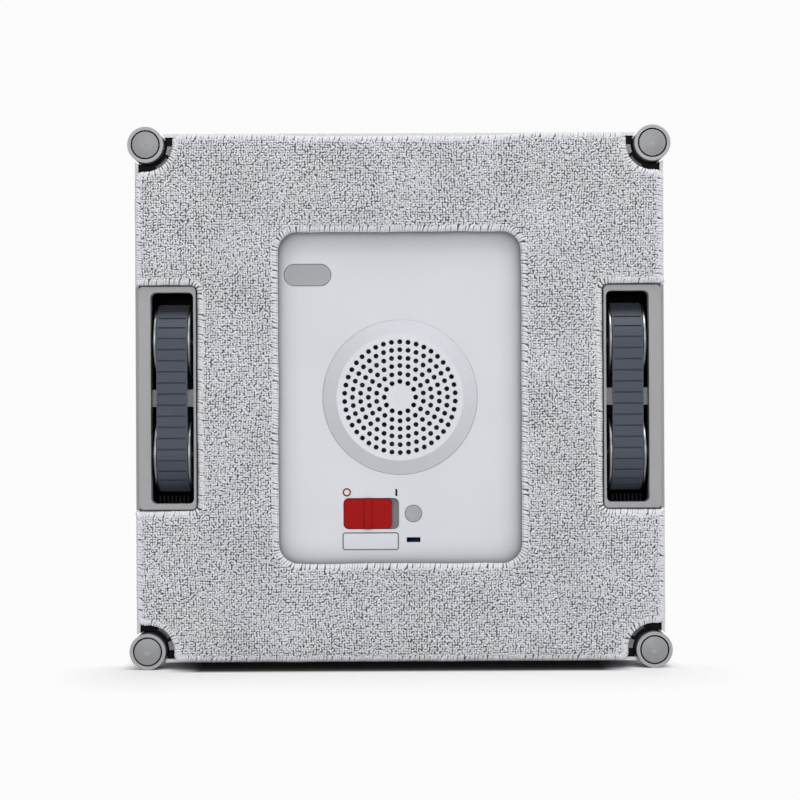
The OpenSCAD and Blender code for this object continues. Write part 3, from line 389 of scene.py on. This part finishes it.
# %% [markdown]
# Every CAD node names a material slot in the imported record. The loop below gives each node the
# finish of its slot, and the cross frames deep in the tracks a paler one, because hardly any light
# gets down to them. The shapes themselves stay as they are. The cleaning pad is the one soft node:
# it gets a plain stand-in here and is replaced by real fabric further down.

# %% Dress the CAD nodes
slot_of = {part["node"]: part["material_slot"] for part in frame["record"]["subparts"]}
for name, part in nodes.items():
    part.data.materials.clear()
    look = "frame" if name.startswith("track_frame") else slot_of[name]
    part.data.materials.append(finish.get(look, finish["shell"]))
print("dressed nodes:", len(nodes), "slots:", sorted(set(slot_of.values())))

# %% [markdown]
# The photograph is taken square on, with the lens level with the middle of the robot, from about
# 0.9 m with a longish lens. The robot fills 531 of the 800 pixels and leans a quarter of a degree,
# so the camera is rolled by that much. It stands on its two lower rollers on a white floor.

# %% Camera
DISTANCE = 902 * MM
DROP = 1.3 * MM         # the lens is this much below the middle of the robot
ROLL = 0.27             # degrees
camera_data = bpy.data.cameras.new("camera")
camera_data.lens, camera_data.sensor_width = 88.0, 36.0
camera = link("camera", camera_data)
camera.location = (0.0, -DISTANCE, -DROP)
camera.rotation_euler = (math.radians(90), math.radians(ROLL), 0)
bpy.context.scene.camera = camera
print("camera at", tuple(round(v, 4) for v in camera.location))

# %% [markdown]
# The studio is a white floor under a white sky. A ray from the camera, or one that metal or glass
# has turned, sees the sky white, while the light that the sky sheds is a soft grey, so the object
# isn't washed out.

# %% Sky
WHITE = (0.97, 0.97, 0.97, 1)
world = bpy.data.worlds.new("studio")
bpy.context.scene.world = world
world.use_nodes = True
tree = world.node_tree
tree.nodes.clear()
rays = add(tree, "LightPath")
clear = add(tree, "Math", {0: rays.outputs["Is Camera Ray"],
                           1: rays.outputs["Is Transmission Ray"]}, operation="MAXIMUM")
seen = add(tree, "Math", {0: clear.outputs[0], 1: rays.outputs["Is Glossy Ray"]},
           operation="MAXIMUM").outputs[0]
white = add(tree, "Background", {"Color": WHITE, "Strength": 1.0})
ambient = add(tree, "Background", {"Color": linear("#f6f7fa"), "Strength": 0.42})
blend = add(tree, "MixShader", {0: seen, 1: ambient.outputs[0], 2: white.outputs[0]})
add(tree, "OutputWorld", {0: blend.outputs[0]})
print("sky nodes:", len(tree.nodes))

# %% [markdown]
# Near the object the floor is plain paper, so it keeps the shadow, and further off it fades into
# the white of the sky. Right under the robot its colour is nearly black, a painted shadow. Each
# edge of such a patch is a ramp from 0 to 1 between two distances, either sideways from the middle
# of the robot or back from its front face.

# %% Floor
floor_z = -125.6 * MM
sheet = bmesh.new()
bmesh.ops.create_grid(sheet, x_segments=1, y_segments=1, size=6.0,
                      matrix=Matrix.Translation((0, 0, floor_z)))
paper, tree, shader = new_material("white_paper_floor", {"Roughness": 0.9})
floor = link("floor", mesh_of(sheet, "floor"), paper)
place = add(tree, "TexCoord").outputs["Object"]
across, back, _ = add(tree, "SeparateXYZ", {0: place}).outputs
sideways = add(tree, "Math", {0: across}, operation="ABSOLUTE").outputs[0]
edges = {
    "dark front": (back, -9, -3), "dark rear": (back, 70, 40), "dark side": (sideways, 108, 93),
    "beside": (sideways, 118, 132), "past the front": (back, 0, 20), "behind": (back, 90, 170),
    "far aside": (sideways, 115, 160), "far in front": (back, -5, -72),
}
ramp = {name: add(tree, "MapRange", {0: value, 1: start * MM, 2: end * MM}).outputs[0]
        for name, (value, start, end) in edges.items()}
dark = add(tree, "Math", {0: ramp["dark front"], 1: ramp["dark rear"]}, operation="MULTIPLY")
painted_shadow_share = add(tree, "Math", {0: dark.outputs[0], 1: ramp["dark side"]},
            operation="MULTIPLY").outputs[0]
beside = add(tree, "Math", {0: ramp["past the front"], 1: ramp["beside"]}, operation="MULTIPLY")
behind = add(tree, "Math", {0: beside.outputs[0], 1: ramp["behind"]}, operation="MAXIMUM")
away = add(tree, "CombineXYZ", {0: ramp["far aside"], 1: ramp["far in front"],
                                2: behind.outputs[0]}).outputs[0]
length = add(tree, "VectorMath", {0: away}, operation="LENGTH").outputs["Value"]
fade = add(tree, "Math", {0: length, 1: 1.0}, operation="MINIMUM").outputs[0]
lit = add(tree, "Math", {0: 1.0, 1: painted_shadow_share}, operation="SUBTRACT").outputs[0]
far = add(tree, "Math", {0: fade, 1: lit}, operation="MULTIPLY").outputs[0]
camera_ray = add(tree, "LightPath").outputs["Is Camera Ray"]
far = add(tree, "Math", {0: far, 1: camera_ray}, operation="MULTIPLY").outputs[0]
# painted shadow: the colour under the robot is nearly black
tone = add(tree, "Mix", {0: painted_shadow_share, 6: (0.85, 0.85, 0.85, 1), 7: (0.02, 0.02, 0.02, 1)},
           data_type="RGBA")
tree.links.new(tone.outputs[2], shader.inputs["Base Color"])
blank = add(tree, "Emission", {"Color": WHITE})
blend = add(tree, "MixShader", {0: far, 1: shader.outputs[0], 2: blank.outputs[0]})
tree.links.new(blend.outputs[0], tree.nodes["Material Output"].inputs[0])
print("floor at", round(floor_z / MM, 1), "mm")

# %% [markdown]
# One large soft lamp hangs above and a little to the right, and a larger, weaker one stands behind
# the camera. A third behind the robot lights its rear cover, which the photograph doesn't show. All
# three point at the middle of the robot.

# %% Lamps
def lamp(name, place, size, power):
    data = bpy.data.lights.new(name, "AREA")
    data.shape, data.size, data.energy = "DISK", size, power
    disc = link(name, data)
    disc.location = place
    disc.rotation_euler = (-Vector(place)).to_track_quat("-Z", "Y").to_euler()


lamp("key", (0.25, -0.45, 1.25), 0.9, 12)
lamp("front", (-0.15, -1.9, 0.35), 1.4, 10)
lamp("back", (0.4, 1.9, 0.5), 1.4, 8)
bpy.context.scene.view_settings.view_transform = "Standard"

# %% [markdown]
# The pad is a thick microfibre cloth with an overlocked edge, held on by hook tape. Its outline is
# taken from the CAD solid, by cutting a merged copy of it at half its thickness and walking round
# the edges that are left. The walk gives one line round the outside, with the track notches and
# the roller pockets in it, and one line round the window.

# %% The pad's outlines
def outlines(node, depth):
    cut = bmesh.new()
    cut.from_mesh(nodes[node].data)
    bmesh.ops.remove_doubles(cut, verts=cut.verts, dist=0.001 * MM)
    bmesh.ops.bisect_plane(cut, geom=cut.verts[:] + cut.edges[:] + cut.faces[:], dist=1e-7,
                           plane_co=(0, depth, 0), plane_no=(0, 1, 0),
                           clear_inner=True, clear_outer=True)
    left, found = set(cut.verts), []
    while left:
        point, line = min(left, key=lambda v: (v.co.x, v.co.z)), []
        while point:
            left.discard(point)
            line.append(point.co.copy())
            near = [e.other_vert(point) for e in point.link_edges]
            point = next((v for v in near if v in left), None)
        found.append(line)
    cut.free()
    return sorted(found, key=len, reverse=True)


def is_outer(line):
    """Whether a line runs round the outside of the pad and not round its window."""
    return max(v.x for v in line) > 100 * MM


def spaced(line, step):
    """Points at equal steps along a closed line, each with the direction into the cloth."""
    ends = list(zip(line, line[1:] + line[:1]))
    area = sum(a.x * b.z - b.x * a.z for a, b in ends) / 2
    side = 1 if (area > 0) == is_outer(line) else -1
    whole = sum((b - a).length for a, b in ends)
    count = round(whole / step)
    points, walked, k = [], 0.0, 0
    for a, b in ends:
        length = (b - a).length
        while k < count and walked + length >= k * whole / count:
            share = (k * whole / count - walked) / length
            points.append(a.lerp(b, share))
            k += 1
        walked += length
    made = []
    for i, point in enumerate(points):
        ahead = points[(i + 2) % len(points)] - points[i - 2]
        made.append((point, Vector((-ahead.z, 0, ahead.x)).normalized() * side))
    return made


noise.seed_set(11)      # without a seed the noise starts from the clock


def worn_in(point):
    """The cloth sags in the middle of its top edge, and no edge of it is dead straight."""
    sag = 1.3 * MM * max(0, 1 - (point.x / (62 * MM)) ** 4) * max(0, point.z / MM - 60) / 62
    wave = noise.noise_vector(Vector((point.x, 0, point.z)) / (17 * MM)) * 0.35 * MM
    return Vector((point.x + wave.x, point.y, point.z + wave.z - sag))


pad_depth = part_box("cleaning_pad")
pad_lines = outlines("cleaning_pad", (pad_depth[0].y + pad_depth[1].y) / 2)
pad_lines = [[worn_in(point) for point, _ in spaced(line, 1.0 * MM)] for line in pad_lines]
print("outlines:", [len(line) for line in pad_lines])

# %% [markdown]
# The cloth itself is a low, crowned cushion. A merged copy of the CAD solid is remeshed to even
# quads of 1.6 mm, drawn in a little, and its edges are smoothed round. Cloth pressure then lifts it
# slightly between its edges, and a cap on the movement keeps it flat enough to wipe a pane. The
# back stays where the hook tape holds it.

# %% Cloth body
def applied(piece):
    """Makes what the modifiers do permanent."""
    graph = bpy.context.evaluated_depsgraph_get()
    graph.update()
    mesh = bpy.data.meshes.new_from_object(piece.evaluated_get(graph))
    piece.modifiers.clear()
    piece.data = mesh


solid = bmesh.new()
solid.from_mesh(nodes["cleaning_pad"].data)
bmesh.ops.remove_doubles(solid, verts=solid.verts, dist=0.001 * MM)
pad = link("pad_cloth", mesh_of(solid, "pad_cloth"))
remesh = pad.modifiers.new("even", "REMESH")
remesh.mode, remesh.voxel_size = "VOXEL", 1.6 * MM
applied(pad)
print("cloth quads:", len(pad.data.polygons))

# %% Round its edges and draw it in
DRAWN_IN = 0.75 * MM
back_y = pad_depth[1].y
shape = bmesh.new()
shape.from_mesh(pad.data)
shape.normal_update()
for v in shape.verts:
    if v.normal.y < 0.6:
        v.co -= v.normal * DRAWN_IN
for _ in range(4):
    bmesh.ops.smooth_vert(shape, verts=shape.verts, factor=0.5, use_axis_x=True, use_axis_y=True,
                          use_axis_z=True)
for v in shape.verts:
    v.co.y = min(v.co.y, back_y - 0.05 * MM)
    v.co = worn_in(v.co)
shape.to_mesh(pad.data)
shape.free()
print("drawn in to", [round(v * 1000, 2) for v in pad.dimensions])

# %% Let pressure lift it between its edges
def puffed(piece, frames, cap):
    """Runs the cloth under pressure, and says how many points the cap held back."""
    start = [v.co.copy() for v in piece.data.vertices]
    group = piece.vertex_groups.new(name="held")
    held = [v.index for v in piece.data.vertices if v.co.y > back_y - 1.6 * MM]
    group.add(held, 1.0, "REPLACE")
    cloth = piece.modifiers.new("cloth", "CLOTH")
    cloth.settings.quality = 4
    cloth.settings.mass = 0.2
    cloth.settings.use_pressure = True
    cloth.settings.uniform_pressure_force = 2.0
    cloth.settings.effector_weights.gravity = 0.0
    cloth.settings.vertex_group_mass = "held"
    cloth.point_cache.frame_start, cloth.point_cache.frame_end = 1, frames
    for f in range(1, frames + 1):
        bpy.context.scene.frame_set(f)
    applied(piece)
    moved = 0
    for v, rest in zip(piece.data.vertices, start):
        step = v.co - rest
        if step.length > cap:
            v.co = rest + step.normalized() * cap
            moved += 1
    bpy.context.scene.frame_set(1)
    return moved


print("points at the cap:", puffed(pad, 8, 0.5 * MM))

# %% [markdown]
# Microfibre for glass is knitted with a pile of short closed loops, about 1.1 mm apart, in rows and
# columns that drift as the knit stretches. The loops give the cloth its sparkle of pale tufts and
# dark gaps, so they are real here and not a bump. One loop is modelled as a small arch of yarn, a
# circle spun through half a turn. It has few faces, because thousands of copies are stamped on the
# cloth, each turned and sized a little differently.

# %% One loop of yarn
def yarn_loop(reach, thickness):
    arch = bmesh.new()
    bmesh.ops.create_circle(arch, segments=4, radius=thickness,
                            matrix=Matrix.Translation((reach, 0, 0)))
    bmesh.ops.spin(arch, geom=arch.verts[:] + arch.edges[:], cent=(0, 0, 0), axis=(0, -1, 0),
                   angle=math.radians(190), steps=4)
    bmesh.ops.rotate(arch, verts=arch.verts, cent=(0, 0, 0),
                     matrix=Matrix.Rotation(math.radians(5), 3, "Y"))
    bmesh.ops.recalc_face_normals(arch, faces=arch.faces)
    for face in arch.faces:
        face.smooth = True
    return mesh_of(arch, "loop")


loop = yarn_loop(0.35 * MM, 0.48 * MM)
print("faces in a loop:", len(loop.polygons))

# %% A stamp, and the pad's surface and edges
def stamped(mesh, places):
    """One mesh with a copy of a small mesh at each matrix."""
    whole = bmesh.new()
    for place in places:
        mesh.transform(place)
        whole.from_mesh(mesh)
        mesh.transform(place.inverted())
    return mesh_of(whole, "stamped")


skin = bmesh.new()
skin.from_mesh(pad.data)
surface = BVHTree.FromBMesh(skin)
skin.free()
edge_trees = []
for line in pad_lines:
    tree = kdtree.KDTree(len(line))
    for i, point in enumerate(line):
        tree.insert(Vector((point.x, 0, point.z)), i)
    tree.balance()
    edge_trees.append((tree, is_outer(line)))
print("edge lines to keep clear of:", len(edge_trees))

# %% [markdown]
# The pile is laid row by row. A loop is left out in the band that the hem covers, and where the
# surface turns away from the front. Its random numbers are drawn all the same, so that one loop
# more or less doesn't change the others. The loops are shared out over six pieces, to keep each
# piece's mesh small.

# %% Stamp the pile
HEM = {True: 2.6 * MM, False: 3.0 * MM}     # bare band along the outside, and round the window
PITCH = (1.14 * MM, 1.1 * MM)
ROWS, COLUMNS = 113, 110                    # on each side of the middle
DRIFT, DRIFT_SIZE = 1.2 * MM, 22 * MM       # how far the knit strays, and over what distance
SUNK = 0.12 * MM                            # how deep a loop's feet stand in the cloth
SIDE_BAND = 56 * MM                         # half the height of the left and right pieces
chance = random.Random(11)
piles = {"top_left": [], "top_right": [], "bottom_left": [], "bottom_right": [],
         "left": [], "right": []}
for row in range(-ROWS, ROWS + 1):
    for column in range(-COLUMNS, COLUMNS + 1):
        spot = Vector((column * PITCH[0], 0, row * PITCH[1]))
        drift = noise.noise_vector(spot / DRIFT_SIZE) * DRIFT
        spot += Vector((drift.x, 0, drift.z))
        spot += Vector((chance.gauss(0, 0.15), 0, chance.gauss(0, 0.15))) * MM
        size = chance.uniform(0.85, 1.2)
        turn = Matrix.Rotation(math.radians(chance.gauss(45, 45)), 4, "Z")
        lean = Matrix.Rotation(math.radians(chance.gauss(0, 14)), 4, "X")
        if any(tree.find(spot)[2] < HEM[outer] for tree, outer in edge_trees):
            continue
        start = Vector((spot.x, -20 * MM, spot.z))
        hit, normal, _, _ = surface.ray_cast(start, Vector((0, 1, 0)))
        if hit is None or normal.y > -0.3 or hit.y > 3 * MM:
            continue
        lie = normal.to_track_quat("Z", "Y").to_matrix().to_4x4()
        place = Matrix.Translation(hit - normal * SUNK) @ lie @ turn @ lean
        place = place @ Matrix.Scale(size, 4)
        side = "left" if spot.x < 0 else "right"
        if abs(spot.z) > SIDE_BAND:
            side = ("top_" if spot.z > 0 else "bottom_") + side
        piles[side].append(place)
print("loops:", {side: len(found) for side, found in piles.items()})

# %% [markdown]
# The yarn is a split polyester and polyamide fibre, dull and a little fuzzy, so it gets a high
# roughness and some sheen. Its grey drifts from tuft to tuft and over the whole cloth. The ground
# that the loops are knitted into is darker, because little light gets down to it.

# %% Yarn finishes
def yarn(name, code, tuft, low=0.9, high=1.06):
    material, tree, shader = new_material(name, {"Roughness": 0.85, "Sheen Weight": 0.25,
                                                 "Sheen Roughness": 0.4, "IOR": 1.5})
    place = add(tree, "TexCoord").outputs["Object"]
    tufts = add(tree, "TexNoise", {"Vector": place, "Scale": 1 / (tuft * MM), "Detail": 1.0})
    drift = add(tree, "TexNoise", {"Vector": place, "Scale": 1 / (30 * MM), "Detail": 2.0})
    fibre = add(tree, "TexNoise", {"Vector": place, "Scale": 1 / (0.18 * MM), "Detail": 2.0})
    slight = add(tree, "Math", {0: drift.outputs[0], 1: 0.3}, operation="MULTIPLY").outputs[0]
    both = add(tree, "Math", {0: tufts.outputs[0], 1: slight}, operation="ADD").outputs[0]
    share = add(tree, "MapRange", {0: both, 1: 0.38, 2: 0.92}).outputs[0]
    tone = add(tree, "Mix", {0: share, 6: darker(code, low), 7: darker(code, high)},
               data_type="RGBA")
    tree.links.new(tone.outputs[2], shader.inputs["Base Color"])
    bump = add(tree, "Bump", {"Height": fibre.outputs[0], "Distance": 0.05 * MM})
    tree.links.new(bump.outputs[0], shader.inputs["Normal"])
    return material


pile_yarn = yarn("looped_microfibre_yarn", "#dcdde0", 1.0, low=0.76, high=1.2)
ground_yarn = yarn("knitted_ground_of_the_pad", "#5a5c60", 0.9)
hem_yarn = yarn("overlock_thread", "#dfe0e3", 1.2)
print("yarns: 3")

# %% Put the pad in the CAD pad's place

pad.data.materials.clear()
pad.data.materials.append(ground_yarn)
for face in pad.data.polygons:
    face.use_smooth = True
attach(pad, "cleaning_pad")
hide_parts("cleaning_pad")
for side, places in piles.items():
    tufts = link("pad_pile_" + side, stamped(loop, places), pile_yarn)
    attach(tufts, "cleaning_pad")
    print(tufts.name, "faces:", len(tufts.data.polygons))

# %% [markdown]
# An overlock machine wraps thread round the cut edge, square to it, in a band about 4 mm wide. Seen
# from the front the band is a row of short ribs with dark gaps between them. One wrap is modelled
# as a bent tube from the needle line over the rounded edge to the back, and stamped along both
# outlines at the stitch length. Its path runs into the cloth along x and back along y, and its
# radii say how thick the thread is at each point of the path, all in millimetres.

# %% Overlocked edge
def bent_tube(path, radii):
    tube = bmesh.new()
    ring = bmesh.ops.create_circle(tube, segments=5, radius=radii[0] * MM)["verts"]
    ends = [Vector(p) * MM for p in path]
    ahead = (ends[1] - ends[0]).to_track_quat("Z", "Y").to_matrix()
    bmesh.ops.transform(tube, verts=ring, matrix=Matrix.Translation(ends[0]) @ ahead.to_4x4())
    edges = tube.edges[:]
    grown = [new / old for old, new in zip(radii, radii[1:])]
    for a, b, c, grow in zip(ends, ends[1:], ends[2:] + [None], grown):
        made = bmesh.ops.extrude_edge_only(tube, edges=edges)["geom"]
        ring = [g for g in made if isinstance(g, bmesh.types.BMVert)]
        edges = [g for g in made if isinstance(g, bmesh.types.BMEdge)]
        way = (b - a).normalized()
        after = (c - b).normalized() if c else way
        turn = way.rotation_difference((way + after).normalized()).to_matrix()
        bmesh.ops.translate(tube, verts=ring, vec=b - a)
        bmesh.ops.rotate(tube, verts=ring, cent=b, matrix=turn)
        bmesh.ops.scale(tube, verts=ring, vec=(grow, grow, grow), space=Matrix.Translation(-b))
    bmesh.ops.recalc_face_normals(tube, faces=tube.faces)
    for face in tube.faces:
        face.smooth = True
    return mesh_of(tube, "wrap")


wrap_path = [(4.3, 1.5, 0), (3.6, 0.8, 0), (2.4, 0.65, 0), (1.3, 0.95, 0), (0.7, 2.4, 0),
             (1.0, 4.0, 0), (1.9, 4.4, 0)]
wrap_tube = bent_tube(wrap_path, (0.36, 0.46, 0.62, 0.7, 0.7, 0.5, 0.4))
print("faces in a wrap:", len(wrap_tube.polygons))

# %% Stitch it along both outlines
STITCH = 1.16 * MM


def wraps_along(line):
    places = []
    for point, inward in spaced(line, STITCH):
        along = inward.cross(Vector((0, 1, 0)))
        turn = Matrix((inward, Vector((0, 1, 0)), along)).transposed().to_4x4()
        sway = Matrix.Rotation(math.radians(chance.gauss(14, 6)), 4, "Y")
        size = chance.uniform(0.93, 1.05)
        place = Matrix.Translation((point.x, pad_depth[0].y, point.z)) @ turn @ sway
        places.append(place @ Matrix.Diagonal((size, size, 1.0, 1.0)))
    return places


both = bmesh.new()
for line in pad_lines:
    both.from_mesh(stamped(wrap_tube, wraps_along(line)))
hem = link("pad_overlock", mesh_of(both, "pad_overlock"), hem_yarn)
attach(hem, "cleaning_pad")
print("overlock faces:", len(hem.data.polygons))

# %% [markdown]
# Three marks are printed on the base plate: a red ring for off, a black bar for on, and the empty
# frame of a label. Ink is a film a few hundredths of a millimetre thick, so each is a flat shape
# with that much body, lying on the plate. A ring is a filled circle whose inner part is inset and
# deleted, and a rounded frame is made the same way from a square with bevelled corners. Sizes and
# places across the plate are in millimetres.

# %% Printed marks
INK = 0.04 * MM


def printed(name, make, place, ink, stroke=None):
    flat = bmesh.new()
    make(flat)
    if stroke:
        rim = bmesh.ops.inset_region(flat, faces=flat.faces[:], thickness=stroke,
                                     use_boundary=True, use_even_offset=True)["faces"]
        middle = [f for f in flat.faces if f not in rim]
        bmesh.ops.delete(flat, geom=middle, context="FACES_ONLY")
    made = bmesh.ops.extrude_face_region(flat, geom=flat.faces[:])["geom"]
    top = [g for g in made if isinstance(g, bmesh.types.BMVert)]
    bmesh.ops.translate(flat, verts=top, vec=(0, 0, INK))
    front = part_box("base_plate")[0].y
    stand = Matrix.Translation((place[0] * MM, front, place[1] * MM)) @ \
        Matrix.Rotation(math.radians(90), 4, "X")
    bmesh.ops.transform(flat, verts=flat.verts, matrix=stand)
    bmesh.ops.recalc_face_normals(flat, faces=flat.faces)
    piece = link(name, mesh_of(flat, name), ink)
    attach(piece, "body")
    print(name, "faces:", len(piece.data.polygons))


def disc(radius):
    return lambda flat: bmesh.ops.create_circle(flat, cap_ends=True, segments=56,
                                                radius=radius * MM)


def plaque(width, height, corner):
    def make(flat):
        bmesh.ops.create_grid(flat, x_segments=1, y_segments=1, size=0.5)
        bmesh.ops.scale(flat, verts=flat.verts, vec=(width * MM, height * MM, 1))
        bmesh.ops.bevel(flat, geom=flat.verts[:], affect="VERTICES", offset=corner * MM,
                        segments=6, profile=0.5, material=-1)
    return make


red_ink = moulded("screen_printed_red_ink", "#8a1119", 0.5, depth=0.002, shine=0.1)
black_ink = moulded("screen_printed_black_ink", "#0b0c0f", 0.5, depth=0.002, shine=0.1)
grey_ink = moulded("screen_printed_grey_ink", "#63686c", 0.5, depth=0.002)
printed("mark_off", disc(1.95), (-24.9, -44.05), red_ink, stroke=0.68 * MM)
printed("mark_on", plaque(0.9, 3.3, 0.15), (-1.9, -44.25), black_ink)
printed("label_frame", plaque(26.2, 8.3, 1.3), (-13.9, -66.8), grey_ink,
        stroke=0.55 * MM)

# %% [markdown]
# Round each roller is a black pocket with three small trims in it: a grey stop beside the roller, a
# strip that follows the pocket's wall, and a black sheet, a painted shadow, that closes the pocket
# up to the stitches.
# All are short arcs about the roller's pin, so each is a small rectangle spun through a few
# degrees, then set at the four corners in mirror image.

# %% Trims in the roller pockets
def roller_middle(corner):
    """The place of a roller's pin, and the front of the roller."""
    low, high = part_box("roller_" + corner)
    return (low.x + high.x) / 2, low.y, (low.z + high.z) / 2


def pocket_trim(name, inner, outer, start, end, front, back, material):
    whole = bmesh.new()
    for corner, x, z in (("bottom_left", -1, -1), ("top_left", -1, 1), ("bottom_right", 1, -1),
                         ("top_right", 1, 1)):
        bar = bmesh.new()
        bmesh.ops.create_grid(bar, x_segments=1, y_segments=1, size=0.5)
        bmesh.ops.scale(bar, verts=bar.verts, vec=((outer - inner) * MM, back - front, 1))
        bmesh.ops.translate(bar, verts=bar.verts,
                            vec=((outer + inner) / 2 * MM, (front + back) / 2, 0))
        bmesh.ops.rotate(bar, verts=bar.verts, cent=(0, 0, 0),
                         matrix=Matrix.Rotation(math.radians(start), 3, "Y"))
        bmesh.ops.spin(bar, geom=bar.verts[:] + bar.edges[:] + bar.faces[:], cent=(0, 0, 0),
                       axis=(0, 1, 0), angle=math.radians(end - start), steps=8)
        pin_x, _, pin_z = roller_middle(corner)
        place = Matrix.Translation((pin_x, 0, pin_z)) @ Matrix.Diagonal((-x, 1, z, 1))
        bmesh.ops.transform(bar, verts=bar.verts, matrix=place)
        whole.from_mesh(mesh_of(bar, name))
    bmesh.ops.recalc_face_normals(whole, faces=whole.faces)
    piece = link(name, mesh_of(whole, name), material)
    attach(piece, "body")
    print(name, "faces:", len(piece.data.polygons))


stop_grey = moulded("moulded_abs_pocket_stop", "#87888b", 0.45)
strip_grey = moulded("moulded_abs_pocket_strip", "#4a4b4f", 0.4)
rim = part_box("roller_brackets")[0].y
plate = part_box("base_plate")[0].y
pocket_trim("pocket_stops", 9.7, 12.3, 2, 24, rim - 0.5 * MM, rim, stop_grey)
pocket_trim("pocket_strips", 10.6, 12.1, 32, 66, rim - 0.5 * MM, rim, strip_grey)
# a black sheet of painted shadow beside each pocket
pocket_trim("pocket_shadow_sheets", 12.25, 16.4, -12, 102, plate - 0.7 * MM, plate, finish["housing"])

# %% [markdown]
# Between the ring of each roller and the cap on its pin is a groove, and in the photograph it is a
# thin black line. A black rubber ring lies in it as painted shade of the groove: a small circle
# spun once about the pin.

# %% Black ring of painted shade in the groove of each roller
SHADE_RING_R, SHADE_RING_THICK = 6.42 * MM, 0.31 * MM
grooves = []
for corner in ("top_left", "top_right", "bottom_left", "bottom_right"):
    x, front, z = roller_middle(corner)
    grooves.append(Matrix.Translation((x, front + 0.5 * MM, z)))
shade_ring = bmesh.new()
bmesh.ops.create_circle(shade_ring, segments=10, radius=SHADE_RING_THICK,
                        matrix=Matrix.Translation((SHADE_RING_R, 0, 0)))
bmesh.ops.spin(shade_ring, geom=shade_ring.verts[:] + shade_ring.edges[:], cent=(0, 0, 0), axis=(0, 0, 1),
               steps=64, angle=math.radians(360), use_merge=True)
bmesh.ops.rotate(shade_ring, verts=shade_ring.verts, cent=(0, 0, 0),
                 matrix=Matrix.Rotation(math.radians(90), 3, "X"))
for face in shade_ring.faces:
    face.smooth = True
# black rings that paint the shade in the grooves
shade_rings = link("roller_groove_shades", stamped(mesh_of(shade_ring, "shade_ring"), grooves), finish["tyre"])
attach(shade_rings, "body")
print("seals:", len(grooves), "faces:", len(shade_rings.data.polygons))
